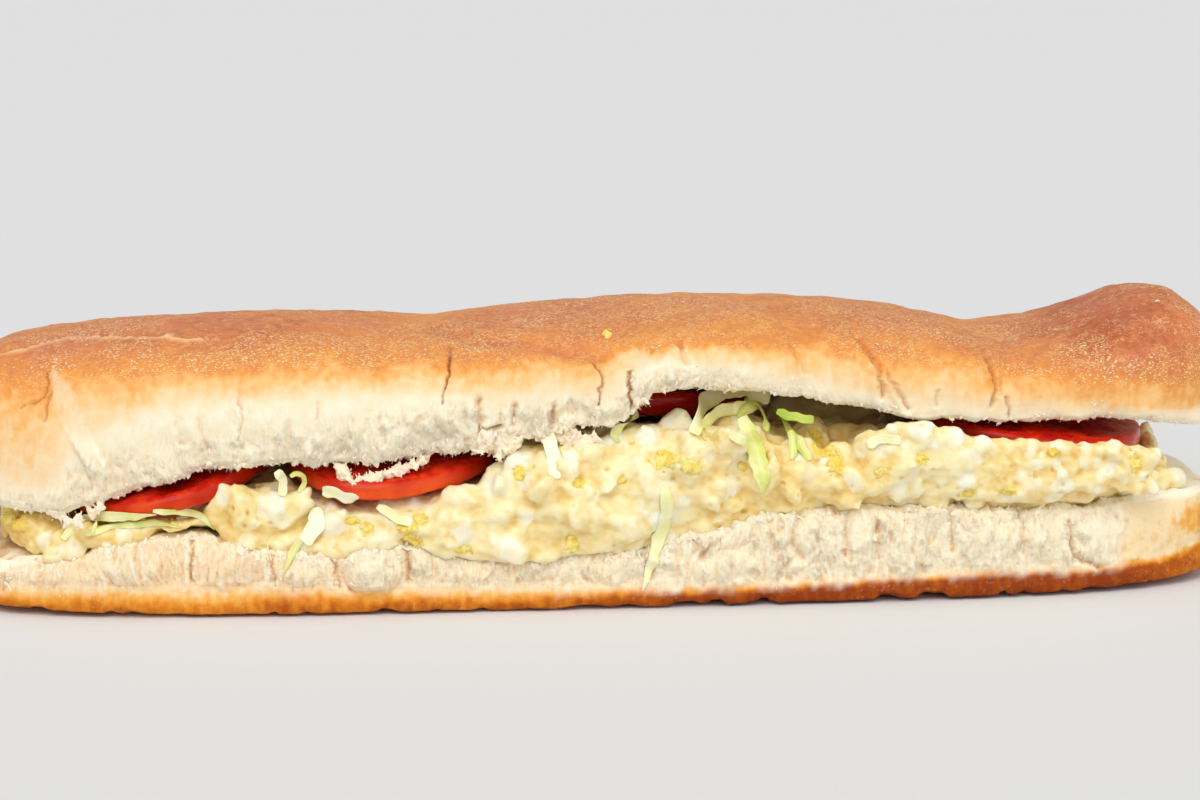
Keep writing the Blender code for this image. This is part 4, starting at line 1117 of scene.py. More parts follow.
saladValues = {
    # how fine the mesh of the front and the back is, how many lumps it gets and the seed of its draws
    "front": (0.54, 340, 21), "back": (0.8, 170, 22),
    "soften": 14,  # how often the heap is smoothed
    "sizes": (2.2, 8.4), "whiteShare": 0.28, "yolkShare": 0.04,
    # the nodes that its lumps stay clear of
    "neighbours": ("bread_top", "bread_bottom", "tomato_1", "tomato_2", "tomato_3", "tomato_4"),
    # how light the mayonnaise is along the roll
    "light": [(-156, 0.36), (-130, 0.32), (-98, 0.34), (-86, 0.38), (-76, 0.52), (-60, 0.64), (-26, 0.68),
              (-14, 0.54), (-4, 0.54), (4, 0.68), (14, 0.68), (30, 0.5), (48, 0.44), (64, 0.44), (76, 0.74),
              (86, 0.7), (98, 0.42), (120, 0.48), (156, 0.5)],
    "sunk": (40, 76, 5.5),  # from where to where the heap is pressed down under the upper half, and how far
    # a ridge of salad in front of the slice on the right: x, height of its top and how thick it is
    "ridge": [(62, 41, 2.4), (68, 43, 2.6), (74, 44, 2.6), (79, 43.4, 2.6), (84, 42, 2.5), (90, 40.4, 2.4),
              (96, 39.2, 2.2), (104, 38.6, 2.2), (112, 38.4, 2.2), (120, 38.2, 2.2), (128, 37.8, 2.0),
              (133, 36.4, 2.0)],
    # how far apart its lumps lie, and for each row of them how much lower it lies and its y
    "ridgeStep": 1.25, "ridgeRows": ((0, -38.4), (2.8, -38.5), (5.6, -38.6), (8.2, -38.4)),
    # from where to where the salad rests right on the lip of the lower half, in lumps of these sizes
    "sealed": (-128, 144), "sealStep": 2.0, "sealSizes": (2.6, 3.6),
    # large pieces that show: x, z, half sizes along x, y and z, turn in degrees, and what they are
    "bigPieces": [
        (8, 25.2, 11.5, 4.5, 5.0, 4, "mayo"), (-8, 35, 3.2, 2.6, 4.6, 10, "white"),
        (-4.5, 27, 4.2, 3, 4.5, -15, "white"), (-33, 27.5, 4.6, 3, 3.2, 20, "mayo"),
        (-25, 24, 5.5, 3, 3.4, -18, "mayo"), (-14, 22, 5, 3, 4.2, 12, "mayo"),
        (-43, 21, 5.5, 3, 2.6, 8, "mayo"), (-36, 17.5, 4.2, 2.6, 2.2, -8, "mayo"),
        (-22, 15.5, 5, 2.6, 2.6, 6, "white"), (-13, 13.6, 3.4, 2.2, 2.2, -20, "mayo"),
        (60, 30, 4.2, 3, 3, 12, "white"), (71, 30, 5, 3, 3.2, -28, "white"), (92, 29, 5.5, 3, 3, 30, "white"),
        (84, 34, 4.5, 3, 2.6, -20, "mayo"), (103, 31, 3.6, 2.6, 3.4, 6, "mayo"),
        (118, 31.5, 4.2, 3, 3.4, -12, "white"), (129, 30, 3.6, 3, 3, 18, "mayo"),
        (38, 36.5, 5, 3, 3.2, -6, "mayo"), (28, 35, 4, 3, 3, 18, "white"), (50, 35.5, 4.6, 3, 2.6, 4, "mayo"),
        (-87.5, 27.6, 3.6, 3, 3, 20, "white"), (-72, 26, 5, 3, 3.2, -14, "mayo"),
        (-95, 25, 4, 2.4, 2.4, 24, "white"), (-112, 21, 5, 2.4, 2.4, 10, "mayo"),
        (-134, 20.5, 5, 2.6, 2.6, 6, "mayo"), (-62, 22.5, 4, 2.6, 2.6, -6, "mayo"),
        (20, 29.5, 4, 2.6, 3.2, 30, "mayo"),
    ],
    # crumbly yolk: x, z and half sizes
    "yolks": [
        (-140, 21.5, 3.6, 3.4), (-42.5, 22.9, 1.3, 1.1), (-45.5, 21, 2.2, 1.0), (-44.5, 17.4, 1.8, 0.8),
        (-32.5, 15.8, 1.8, 0.8), (-19.4, 33.7, 1.0, 1.2), (-5.5, 31.5, 1.2, 1.0), (4.8, 31.6, 0.9, 0.8),
        (-7, 16.6, 1.3, 2.0), (15, 36.4, 2.8, 1.8), (20.9, 35.2, 2.2, 1.8), (24, 42.0, 1.1, 1.1),
        (33.5, 34.1, 0.9, 0.8), (53.2, 37.6, 1.8, 1.7), (55.6, 34.2, 1.7, 2.0), (-55.1, 20.6, 1.2, 0.9),
        (-45, 18.5, 1.3, 0.8), (97, 27, 1.4, 1.0), (108, 36, 1.4, 1.0), (128, 33, 1.3, 1.8),
        (-101, 22.2, 1.2, 0.8), (76, 35, 1.4, 1.2), (66, 32.6, 1.2, 0.9), (88, 26.4, 1.4, 0.9),
        (134, 30.4, 1.1, 1.0), (-58.6, 22.2, 1.1, 0.8),
    ],
    "yolkGrains": (0.28, 0.7), "yolkVoxel": 0.24,
    # a crumb of it that fell on the crust, in x, y and z
    "fallenYolk": (2.8, -26.1, 63.4), "fallenGrains": (0.4, 0.8), "fallenCount": 12,
}


def chunkShape():
    # a piece of chopped egg white: a cube with soft, uneven corners
    chunk = addPrimitive(bpy.ops.mesh.primitive_cube_add, size=2)
    with editMode():
        bpy.ops.mesh.select_all(action="SELECT")
        bpy.ops.mesh.bevel(offset=0.55, segments=2, affect="EDGES")
        bpy.ops.mesh.select_all(action="SELECT")
        bpy.ops.transform.resize(value=(1.0, 0.82, 0.9))
    pushOutOfRound(chunk, 0.9, (4, 2, 9), 0.3)
    return shapeOf(chunk)


def lumpShape():
    # a lump of mayonnaise: a ball pushed out of round
    lump = addPrimitive(bpy.ops.mesh.primitive_ico_sphere_add, subdivisions=2, radius=1)
    with editMode():
        bpy.ops.transform.resize(value=(1.1, 0.95, 0.85))
    pushOutOfRound(lump, 1.3, (1, 8, 3), 0.32)
    return shapeOf(lump)


# each lump in the lists below is what it is, its centre, its size and the matrix that places it

def pickKind(draw):
    return "white" if draw.random() < saladValues["whiteShare"] else "mayo"


def scatterLumps(source, side, count, draw, others):
    # lumps pressed into the salad's surface, small where the bread or a slice is near
    def wanted(centres, facing):
        window = (centres[:, 0] > 2) & (centres[:, 0] < 82) & (facing[:, 2] > 0.3)
        shown = (centres[:, 1] * side > np.where(window, -4, 20)) | (np.abs(centres[:, 0]) > 130)
        return shown & (facing[:, 2] > -0.75)

    lumps = []
    small, large = saladValues["sizes"]
    for spot, facing in sampleSurface(source, draw, count, wanted):
        if spot.y * side < -2:
            continue
        near = others.find_nearest(spot * mm)[3] / mm
        size = min(small + (large - small) * draw.random() ** 1.3, 1.2 + near * 0.5)
        pick = draw.random()
        kind = "mayo"
        if pick < saladValues["whiteShare"]:
            kind = "white"
        elif pick > 1 - saladValues["yolkShare"]:
            kind = "yolk"
            size *= 0.6
        centre = spot + facing * size * draw.uniform(-0.68, -0.26)
        sizes = [size * draw.uniform(*reach) for reach in ((0.8, 1.4), (0.6, 1.0), (0.5, 0.9))]
        lumps.append((kind, centre, size, placed(centre, turned(draw), sizes)))
    return lumps


def pressDown(source):
    # the heap sinks under the upper half, where a shadowed hollow shows
    places, _ = readPoints(source)
    left, right, deep = saladValues["sunk"]
    share = eased(places[:, 0], left - 6, left + 6) * (1 - eased(places[:, 0], right - 6, right + 6))
    share *= eased(places[:, 2], 33, 40)
    places[:, 2] -= deep * share
    places[:, 1] += 0.6 * deep * share * (places[:, 1] < -20)
    # it lies behind the lip of the lower half on the left
    places[:, 1] += 1.6 * (1 - eased(places[:, 0], -60, -48)) * (places[:, 1] < -30)
    writePoints(source, places)


def placeBigPieces(source, draw):
    lumps = []
    tree = surfaceTree([source])
    for x, z, wide, thick, tall, turn, kind in saladValues["bigPieces"]:
        place, _ = frontSurface(tree, x, z)
        if place is None:
            continue
        centre = Vector((x, place.y + thick * 0.5, z))
        spin = Matrix.Rotation(math.radians(turn), 4, "Y") @ turned(draw, 0.4)
        lumps.append((kind, centre, (wide + tall) / 2, placed(centre, spin, (wide, thick, tall))))
    return lumps


def sealLip(draw):
    # a row of lumps behind the lip of the lower half, so that no gap shows above it
    lumps = []
    tree = surfaceTree([rollBottom])
    for x in np.arange(*saladValues["sealed"], saladValues["sealStep"]):
        z = float(along(bottomEdges[0], x))
        place, _ = frontSurface(tree, x, z - 1.5)
        if place is None:
            continue
        size = draw.uniform(*saladValues["sealSizes"])
        kind = pickKind(draw)
        centre = Vector((x, place.y + size + 0.8, z + draw.uniform(0.2, 1.4)))
        sizes = (size * 1.1, size, size * 0.9)
        lumps.append((kind, centre, size, placed(centre, turned(draw), sizes)))
    return lumps


def pileRidge(draw):
    # lumps along the front that cover the lower rim of the slice on the right
    lumps = []
    ridge = saladValues["ridge"]
    for x in np.arange(ridge[0][0], ridge[-1][0], saladValues["ridgeStep"]):
        top, thick = float(along(ridge, x)), float(along(ridge, x, 2))
        for lower, out in saladValues["ridgeRows"]:
            size = thick * draw.uniform(0.8, 1.25)
            kind = pickKind(draw)
            centre = Vector((x + draw.uniform(-1.0, 1.0), out + draw.uniform(-0.4, 0.5),
                             top - (thick + lower) + draw.uniform(-0.9, 0.6)))
            sizes = (size, size * 0.8, size * 0.85)
            lumps.append((kind, centre, size, placed(centre, turned(draw), sizes)))
    return lumps


def yolkPatches(places):
    # where crumbled yolk lies in the salad's surface, from 0 to 1
    ragged = 0.5 * grain(places, 1.2, 31)
    patch = np.zeros(len(places))
    for x, z, wide, tall in saladValues["yolks"]:
        away = np.hypot((places[:, 0] - x) / (1.5 * wide), (places[:, 2] - z) / (1.5 * tall))
        patch = np.maximum(patch, 1 - eased(away + ragged, 0.5, 1.1))
    return patch * (places[:, 1] < -15)


def thinHiddenFaces(obj, side):
    # what the bread hides needs few faces
    centres, facing = readFaces(obj)
    window = (centres[:, 0] > -2) & (centres[:, 0] < 84) & (facing[:, 2] > 0) & (side < 0)
    deep = np.where(window, 3, 24)
    hidden = (centres[:, 1] * side < deep) & (np.abs(centres[:, 0]) < 126)
    hidden |= (facing[:, 2] < -0.5) & (centres[:, 1] * side < 33) & (np.abs(centres[:, 0]) < 132)
    markFaces(obj, hidden)
    with editMode():
        bpy.ops.mesh.decimate(ratio=0.05)


def kindShares(places, lumps):
    # how much each point belongs to a piece of egg white or of yolk
    tree = KDTree(len(lumps))
    for index, (_, centre, _, _) in enumerate(lumps):
        tree.insert(centre, index)
    tree.balance()
    shares = {kind: np.zeros(len(places)) for kind in ("white", "yolk", "mayo")}
    for index, place in enumerate(places.tolist()):
        found = tree.find_n(place, 3)
        near, kind = min((away / lumps[which][2], lumps[which][0]) for _, which, away in found)
        shares[kind][index] = 1 - min(max((near - 0.85) / 0.4, 0), 1)
    return shares


def makeSalad(name, side, half):
    voxel, count, seed = saladValues[half]
    draw = random.Random(seed)
    shapes = {"white": chunkShape(), "mayo": lumpShape()}
    shapes["yolk"] = shapes["mayo"]
    source = copyOfNode("egg_salad", name)
    others = surfaceTree([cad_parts[node] for node in saladValues["neighbours"]])
    # this half alone, cut and capped a little past the middle
    selectOnly(source)
    with editMode():
        bpy.ops.mesh.select_all(action="SELECT")
        bpy.ops.mesh.bisect(plane_co=(0, -side * mm, 0), plane_no=(0, side, 0), clear_inner=True,
                            use_fill=True)
    if side < 0:
        pressDown(source)
    lumps = scatterLumps(source, side, count, draw, others)
    if side < 0:
        lumps += placeBigPieces(source, draw) + sealLip(draw) + pileRidge(draw)
    heap = joinCopies(name + "Lumps", [(shapes[kind], matrix) for kind, _, _, matrix in lumps])
    selectOnly(source)
    heap.select_set(True)
    bpy.ops.object.join()
    applyModifier(source, "REMESH", mode="VOXEL", voxel_size=voxel * mm, use_smooth_shade=True)
    applyModifier(source, "SMOOTH", factor=0.5, iterations=saladValues["soften"])
    places, facing = readPoints(source)
    rough = grain(places, (4, 4, 3.2), seed) * 0.45 + grain(places, (1.6, 1.6, 1.4), seed + 3) * 0.22
    dimples = eased(pits(places, 4.5, seed + 8), 0.78, 0.96) * -0.5
    shares = kindShares(places, lumps)
    patch = yolkPatches(places) if side < 0 else np.zeros(len(places))
    crumbly = patch * (grain(places, 1.0, seed + 12) * 0.5 - 0.2)
    push = rough * (1 - 0.5 * shares["white"]) + dimples * (1 - patch) + crumbly
    writePoints(source, places + facing * push[:, None])
    # relief: lighter or darker along the roll as listed, plus darker in hollows and lighter on lumps, painted
    # shade
    light = along(saladValues["light"], places[:, 0])
    paint(source, white=shares["white"] * (1 - patch), yolk=np.maximum(shares["yolk"], patch),
          relief=np.clip(light + 1.0 * standOut(source, 3) + 0.5 * standOut(source, 20), 0, 1))
    thinHiddenFaces(source, side)
    finishPiece(source, saladMaterial, "egg_salad", "egg_salad")
    return source


saladFront = makeSalad("eggSaladFront", -1, "front")
saladBack = makeSalad("eggSaladBack", 1, "back")
print("egg salad heaped")


def makeYolk():
    # crumbly yolk: patches of small grains pressed into the salad
    draw = random.Random(31)
    shape = lumpShape()
    tree = surfaceTree([saladFront])
    copies = []

    def addGrain(spot, size):
        copies.append((shape, placed(spot, turned(draw), (size, size, size * 0.8))))

    for x, z, wide, tall in saladValues["yolks"]:
        place, _ = frontSurface(tree, x, z)
        if place is None:
            continue
        for _ in range(int(16 + 15 * wide * tall)):
            spot, facing = frontSurface(tree, x + draw.gauss(0, 0.5) * wide, z + draw.gauss(0, 0.5) * tall)
            if spot is None or abs(spot.y - place.y) > 3:
                continue
            size = draw.uniform(*saladValues["yolkGrains"])
            addGrain(spot - facing * size * draw.uniform(0.1, 0.6), size)
    for _ in range(saladValues["fallenCount"]):
        spot = Vector([at + draw.gauss(0, 0.45) for at in saladValues["fallenYolk"]])
        addGrain(spot, draw.uniform(*saladValues["fallenGrains"]))
    obj = joinCopies("yolkCrumbs", copies)
    voxel = saladValues["yolkVoxel"] * mm
    applyModifier(obj, "REMESH", mode="VOXEL", voxel_size=voxel, use_smooth_shade=True)
    places, facing = readPoints(obj)
    rough = grain(places, 0.6, 5) * 0.16
    writePoints(obj, places + facing * rough[:, None])
    # darker in the grains' dips and lighter where they stand out, painted shade, with broad random patches
    tone = 0.5 + rough * 2.5 + 0.35 * grain(places, 7, 6)
    paint(obj, white=0, yolk=1, relief=np.clip(tone, 0, 1))
    finishPiece(obj, saladMaterial, "egg_salad")


makeYolk()
print("yolk crumbled")


# the tomato slices

tomatoLook = {
    # the skin runs from its painted shade to its painted light; the flesh from dark to light red, shifted by
    # each slice's painted light and shade
    "skin": [(0.0, (150, 16, 4)), (0.5, (198, 42, 8)), (1.0, (238, 92, 32))],
    "flesh": [(0.0, (150, 9, 2)), (0.5, (198, 24, 5)), (1.0, (226, 62, 20))],
}
# each slice is drawn lighter or darker as a whole: painted light and shade
tomatoLightAndShade = {1: 0.15, 2: 0.25, 3: -0.3, 4: 0.0}  # how much lighter or darker each slice is


def makeTomatoMaterial():
    # cut is painted 1 on the cut faces; the rim is drawn brighter low down and darker at its top under the
    # bread, painted light and shade; and tone makes each whole slice lighter or darker, also painted light
    # and shade
    material, tree, skin = newMaterial("tomato")
    plain = stretched(tree)
    cut = attribute(tree, "cut")
    blotch = mottled(tree, plain, 120.0)
    veins = mottled(tree, stretched(tree, (1, 1, 0.4)), 480.0, detail=2.0)
    # the rim's painted light and shade, with blotches
    rimTone = maths(tree, "MULTIPLY_ADD", blotch, 0.3, attribute(tree, "glow"), clamp=True)
    fleshTone = maths(tree, "MULTIPLY_ADD", veins, 0.45, maths(tree, "MULTIPLY", blotch, 0.35))
    fleshTone = maths(tree, "ADD", fleshTone, attribute(tree, "tone"), clamp=True)
    rim, flesh = ramp(tree, rimTone, tomatoLook["skin"]), ramp(tree, fleshTone, tomatoLook["flesh"])
    wet = noiseTexture(tree, plain, 420.0, 3.0)
    height = maths(tree, "MULTIPLY", wet, maths(tree, "MULTIPLY_ADD", cut, 0.8, 0.2))
    fillSkin(tree, skin, {
        "Base Color": blendColours(tree, cut, rim, flesh), "Normal": bumped(tree, height, 0.3, 0.6),
        "Roughness": spread(tree, blotch, 0.0, 1.0, 0.2, 0.36), "Specular IOR Level": 0.14,
        "Subsurface Weight": 0.3, "Subsurface Radius": (1.0, 0.25, 0.12), "Subsurface Scale": 2.5 * mm,
        "Coat Weight": 0.07, "Coat Roughness": 0.1})
    return material


tomatoMaterial = makeTomatoMaterial()


def makeTomato(index):
    node = f"tomato_{index}"
    obj = copyOfNode(node, f"tomatoSlice{index}")
    applyModifier(obj, "SUBSURF", levels=3, render_levels=3)
    places, facing = readPoints(obj)
    cut = eased(np.abs(facing[:, 2]), 0.62, 0.82)
    low, high = places[:, 2].min(), places[:, 2].max()
    fromMiddle = (places - places.mean(0))[:, :2]
    reach = np.linalg.norm(fromMiddle, axis=1)
    reach /= reach.max()
    # the cut face sinks a little in its seed chambers, the skin stays smooth
    angle = np.arctan2(fromMiddle[:, 1], fromMiddle[:, 0])
    chamber = eased(np.cos(angle * 5 + index), -0.2, 0.6) * eased(reach, 0.2, 0.4)
    chamber *= 1 - eased(reach, 0.7, 0.84)
    rough = grain(places, 2.2, index * 3.0) * 0.22 * cut + grain(places, (9, 9, 4), index * 5.0) * 0.3
    writePoints(obj, places + facing * (rough - chamber * cut * 0.7)[:, None])
    # each slice's painted light and shade, and its rim drawn lighter low down and darker at its top under the
    # bread
    tone = tomatoLightAndShade[index]
    paint(obj, cut=cut, glow=eased((high - places[:, 2]) / (high - low), 0.1, 1.0) * 0.6 + tone, tone=tone)
    finishPiece(obj, tomatoMaterial, "tomato", node)
    return obj


tomatoes = [makeTomato(index) for index in tomatoLightAndShade]
print("tomato sliced")


# the shredded lettuce

lettuceLook = {
    "leaf": [(0.0, (250, 247, 218)), (0.3, (240, 237, 170)), (0.6, (214, 222, 112)), (1.0, (158, 188, 44))],
}


def makeLettuceMaterial():
    # green is painted from 0 at the pale rib to 1 at the leaf's edge, and vein holds fine lines along it
    material, tree, skin = newMaterial("lettuce")
    plain = stretched(tree)
    cloud = mottled(tree, plain, 170.0)
    vein = attribute(tree, "vein")
    tone = maths(tree, "MULTIPLY_ADD", cloud, 0.24, maths(tree, "ADD", attribute(tree, "green"), -0.12))
    tone = maths(tree, "MULTIPLY_ADD", vein, 0.16, tone, clamp=True)
    fine = noiseTexture(tree, plain, 900.0, 2.0)
    height = maths(tree, "MULTIPLY_ADD", fine, 0.5, maths(tree, "MULTIPLY", vein, 0.5))
    fillSkin(tree, skin, {
        "Base Color": ramp(tree, tone, lettuceLook["leaf"]), "Normal": bumped(tree, height, 0.18, 0.7),
        "Roughness": spread(tree, cloud, 0.0, 1.0, 0.28, 0.45), "Specular IOR Level": 0.35,
        "Subsurface Weight": 0.2, "Subsurface Radius": (0.9, 1.0, 0.6), "Subsurface Scale": 0.3 * mm})
    return material


lettuceMaterial = makeLettuceMaterial()

lettuceValues = {
    "thick": 0.2, "step": 0.6, "columns": 9,  # points along a shred every step, and so many across it
    # each shred: its route in x and z, its widest width, how green it is, how far it stands off,
    # how much it curls, and whether its end is drawn to a point
    "front": [
        # the long strip that hangs over the lower half, and the broad one beside it
        ([(14.4, 30.5), (15.3, 25), (14.6, 19.5), (12.8, 14), (11, 9), (9.7, 4.6)], 3.1, 0.2, 0.5, 0.1, 1),
        ([(33.6, 45.5), (34.6, 43), (36.2, 38.6), (37.8, 33.3), (37.9, 27.5)], 4.3, 0.42, 0.5, 0.3, 1),
        # curls to its right
        ([(37, 44.5), (39.6, 44), (43.4, 43.6), (45.5, 41.6), (47.7, 38.4), (49.7, 35)],
         2.8, 0.6, 0.6, 0.9, 0),
        ([(45.2, 42), (45.8, 39.4), (45.2, 35.4)], 1.8, 0.65, 0.4, 0.9, 0),
        # folded leaf in front of the third slice, with curls under it
        ([(21.6, 42.6), (23.2, 45), (26.2, 47.1), (30.2, 48.4), (35, 48.9), (42.4, 47)],
         4.6, 0.2, 1.4, 0.5, 0),
        ([(24, 42.8), (27, 44.2), (30.6, 45.4), (34.6, 46.2), (40.6, 46.6)], 3.0, 0.42, 0.8, 0.7, 0),
        ([(33.4, 44.2), (36, 46.4), (38.6, 46.2), (40.2, 43.8), (39.6, 41.4)], 2.5, 0.7, 1.2, 0.9, 0),
        ([(29.4, 43), (31.8, 42.2), (34, 40.2)], 2.4, 0.4, 0.6, 0.6, 0),
        # in the shadow under the upper half; the first is drawn darker green, painted shade
        ([(42, 46.4), (45, 45.2), (48, 44.6), (51, 44.2)], 2.2, 0.9, -0.6, 0.8, 0),
        ([(62.6, 39.2), (66, 40.6), (71, 40)], 2.4, 0.15, 0.6, 0.2, 0),
        ([(3, 40.6), (6.4, 43.2), (10, 44.8)], 3.4, 0.5, 0.3, 0.6, 0),
        # the pale sheet in the middle
        ([(-13.4, 43.4), (-11.8, 40), (-11, 36), (-11.2, 33)], 3.8, 0.04, 0, 0.1, 0),
        # a knot of shreds between the two slices on the left
        ([(-72.8, 33), (-71.4, 34.2), (-69.6, 33.2), (-69.2, 31), (-70.8, 29)], 1.4, 0.5, 0.1, 0.8, 0),
        ([(-76, 34.6), (-74.4, 32.2), (-74.8, 28.6)], 2.4, 0.12, 0.5, 0.5, 0),
        ([(-66.5, 25), (-68.6, 21), (-72, 16.4), (-74.9, 10.4)], 1.7, 0.4, 0.5, 0.2, 1),
        ([(-67.4, 25.4), (-66.3, 21.8), (-70, 18)], 3.6, 0.08, 0.7, 0.4, 0),
        ([(-65.4, 29.4), (-61, 28.8), (-57.4, 27.4)], 3.4, 0.1, 0.5, 0.5, 0),
        # long shreds on the far left
        ([(-104.8, 25.8), (-97.7, 25), (-92.7, 23), (-90.8, 20)], 1.5, 0.4, 0.5, 0.3, 1),
        ([(-99.6, 22.8), (-95.2, 24.2), (-91.6, 21.6)], 1.3, 0.35, 0.5, 0.3, 1),
        ([(-126.4, 18), (-123.3, 21.4), (-117.6, 23.4), (-110, 24.2), (-104, 24.8)],
         2.4, 0.38, 0.5, 0.4, 1),
        ([(-121, 19.6), (-113.6, 21.4), (-105, 22.4), (-98.6, 21.6)], 1.6, 0.55, 0.4, 0.4, 1),
        ([(-119.4, 19.4), (-118.2, 22.6)], 0.8, 0.5, 0.7, 0.2, 1),
        ([(-52.6, 26), (-48, 23.4), (-44.4, 22.6)], 2.2, 0.2, 0.4, 0.4, 0),
    ],
    "back": [
        ([(-30, 30), (-22, 26), (-14, 24), (-8, 18), (-6, 13)], 2.4, 0.5, 0.5, 0.4, 1),
        ([(-34, 24), (-25, 28), (-15, 30), (-3, 29), (10, 26), (22, 23)], 2.2, 0.35, 0.5, 0.5, 0),
        ([(8, 31), (14, 27), (20, 25), (27, 24)], 2.6, 0.6, 0.5, 0.6, 0),
        ([(73, 32), (74, 26), (75.5, 19), (75, 14)], 2.8, 0.4, 0.5, 0.3, 1),
        ([(-90, 24), (-82, 22), (-75, 19), (-72, 14)], 2.2, 0.45, 0.5, 0.4, 1),
    ],
}


def softened(values, times):
    for _ in range(times):
        values[1:-1] = (values[:-2] + 2 * values[1:-1] + values[2:]) / 4
    return values


def unit(rows):
    return rows / np.linalg.norm(rows, axis=1)[:, None]


def evenPath(points, step):
    # evenly spaced points on a soft curve through the given ones
    points = np.array(points, float)
    lengths = np.concatenate([[0], np.cumsum(np.linalg.norm(np.diff(points, axis=0), axis=1))])
    at = np.linspace(0, lengths[-1], max(int(lengths[-1] / step), 8))
    return softened(np.column_stack([np.interp(at, lengths, points[:, axis]) for axis in (0, 1)]), 4)


def layPath(route, lift, tree, side):
    # the route laid on what is under it, bridging its hollows, and the way the surface faces
    flat = evenPath(route, lettuceValues["step"])
    depth, facing = [], []
    for x, z in flat.tolist():
        place, way = frontSurface(tree, x, z, side)
        if place is None:
            depth.append(depth[-1] if depth else 36)
            facing.append(facing[-1] if facing else (0, side, 0))
        else:
            depth.append(place.y * side)
            facing.append(tuple(way))
    depth = np.array(depth)
    bridge = [max(depth[max(0, i - 5):i + 6].max() - 1.6, depth[i]) for i in range(len(depth))]
    bridge = np.maximum(softened(np.array(bridge), 5), depth)
    facing = unit(softened(np.array(facing), 8) + np.array([0, side * 0.8, 0]))
    return np.column_stack([flat[:, 0], side * (bridge + lift), flat[:, 1]]), facing


def makeShred(route, width, green, lift, curl, pointed, tree, side, seed):
    # a thin ribbon: a grid whose rows are moved along the laid path, its edges uneven, curled and ruffled
    centres, facing = layPath(route, lift, tree, side)
    across = unit(np.cross(unit(np.gradient(centres, axis=0)), facing))
    count, columns = len(centres), lettuceValues["columns"]
    obj = addPrimitive(bpy.ops.mesh.primitive_grid_add, x_subdivisions=columns - 1, y_subdivisions=count - 1,
                       size=1)
    places = np.empty((count * columns, 3))
    greens, veins = np.empty(count * columns), np.empty(count * columns)
    endSlope, endWidth = (3.2, 0.08) if pointed else (9.0, 0.6)

    def wave(at, size, turn):
        return noise.noise(Vector((at / size, seed * 3.1, turn)))

    for row in range(count):
        share = row / (count - 1)
        at = row * lettuceValues["step"]
        taper = min(1, 3.0 * share + 0.6, endSlope * (1 - share) + endWidth)
        twist = curl * (0.9 * wave(at, 6, 4) + 0.3 * math.sin(seed))
        roll = curl * (0.9 * wave(at, 5, 11) + 0.5)
        for column in range(columns):
            part = column / (columns - 1) - 0.5
            uneven = 1 + 0.4 * wave(at, 1.8, 2 if part < 0 else 7) + 0.3 * wave(at, 5, 3 if part < 0 else 8)
            reach = part * width * taper * uneven
            ruffle = abs(part) * width * (0.1 + 0.5 * curl) * wave(at, 1.6, 5 if part < 0 else 9)
            lifted = ruffle + roll * width * max(part, 0) ** 2 * 1.6
            index = row * columns + column
            places[index] = centres[row] + across[row] * reach * math.cos(twist)
            places[index] += facing[row] * (reach * math.sin(twist) * 0.7 + lifted)
            edge = 0.55 * abs(part) + 0.3 * part * math.copysign(1, math.sin(seed * 5))
            greens[index] = green * (0.75 + edge) + 0.1 * wave(at, 3, 6)
            veins[index] = noise.noise(Vector((part * 9, seed * 2, at * 0.05)))
    writePoints(obj, places)
    paint(obj, green=np.clip(greens, 0, 1), vein=veins)
    applyModifier(obj, "SOLIDIFY", thickness=lettuceValues["thick"] * mm, offset=0.0)
    applyModifier(obj, "SUBSURF", levels=1, render_levels=1)
    return obj


def makeLettuce(name, shreds, tree, side, *nodes):
    pieces = [makeShred(*shred, tree, side, 1.7 * index + 3 * side) for index, shred in enumerate(shreds)]
    selectOnly(pieces[0])
    for piece in pieces:
        piece.select_set(True)
    bpy.ops.object.join()
    obj = bpy.context.object
    obj.name = name
    with editMode():
        bpy.ops.mesh.select_all(action="SELECT")
        bpy.ops.mesh.normals_make_consistent(inside=False)
    finishPiece(obj, lettuceMaterial, "lettuce", *nodes)


filling = surfaceTree([saladFront, saladBack, rollBottom, *tomatoes])
makeLettuce("lettuceFront", lettuceValues["front"], filling, -1,
            "lettuce_left", "lettuce_middle", "lettuce_strip_1", "lettuce_strip_2")
makeLettuce("lettuceBack", lettuceValues["back"], filling, 1, "lettuce_back", "lettuce_strip_3")
print("lettuce laid")


# floor, light and camera

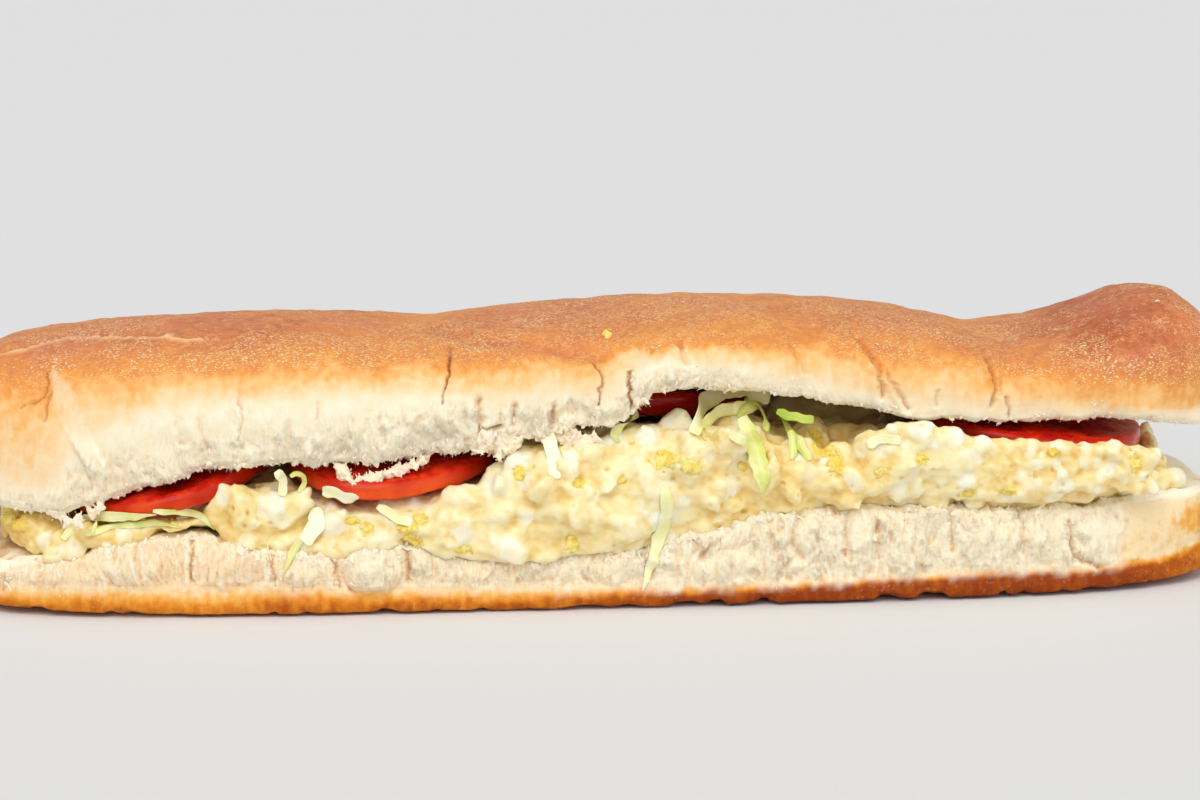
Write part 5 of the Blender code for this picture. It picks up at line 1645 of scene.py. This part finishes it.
setValues = {
    "floor": (226, 226, 226), "floorSize": 12,  # its size in metres
    "worldStrength": 0.51,
    # strength, softness, turn from the front and height of each light, in degrees
    "key": (1.35, 40, -28, 50),
    "fill": (0.82, 60, 35, 35),
    "lens": 85.0, "sensor": 36.0,
    # where the camera looks, and how far to the side, how high and how far away it stands
    "target": (0.0, -36.0, 50.0), "turn": -5.0, "raise": 12.0, "distance": 665.83,
}


def makeFloor():
    floor = addPrimitive(bpy.ops.mesh.primitive_plane_add, size=setValues["floorSize"])
    floor.name = "floor"
    material, tree, skin = newMaterial("paleFloor")
    tone = colour(*setValues["floor"])
    fillSkin(tree, skin, {"Base Color": tone, "Roughness": 0.9, "Specular IOR Level": 0.1})
    floor.data.materials.append(material)


def wayTo(turn, height):
    # a direction from the object: turn from the front, positive to the right, and height above the floor
    turn, height = math.radians(turn), math.radians(height)
    return Vector((math.sin(turn) * math.cos(height), -math.cos(turn) * math.cos(height), math.sin(height)))


def addSun(name, strength, softness, turn, height):
    light = bpy.data.lights.new(name, "SUN")
    light.energy = strength
    light.angle = math.radians(softness)
    sun = bpy.data.objects.new(name, light)
    sun.rotation_mode = "QUATERNION"
    sun.rotation_quaternion = wayTo(turn, height).to_track_quat("Z", "Y")
    scene.collection.objects.link(sun)


def makeLight():
    world = bpy.data.worlds.new("studio")
    scene.world = world
    world.use_nodes = True
    around = world.node_tree.nodes["Background"]
    around.inputs["Color"].default_value = (1, 1, 1, 1)
    around.inputs["Strength"].default_value = setValues["worldStrength"]
    addSun("softKey", *setValues["key"])
    addSun("softFill", *setValues["fill"])
    scene.view_settings.view_transform = "Standard"
    scene.view_settings.look = "None"


def makeCamera():
    data = bpy.data.cameras.new("camera")
    data.lens = setValues["lens"]
    data.sensor_width = setValues["sensor"]
    data.clip_start = 0.01
    back = wayTo(setValues["turn"], setValues["raise"])
    camera = bpy.data.objects.new("camera", data)
    camera.location = (Vector(setValues["target"]) + back * setValues["distance"]) * mm
    camera.rotation_mode = "QUATERNION"
    camera.rotation_quaternion = (-back).to_track_quat("-Z", "Y")
    scene.collection.objects.link(camera)
    scene.camera = camera


makeFloor()
makeLight()
makeCamera()
print("floor, light and camera set")
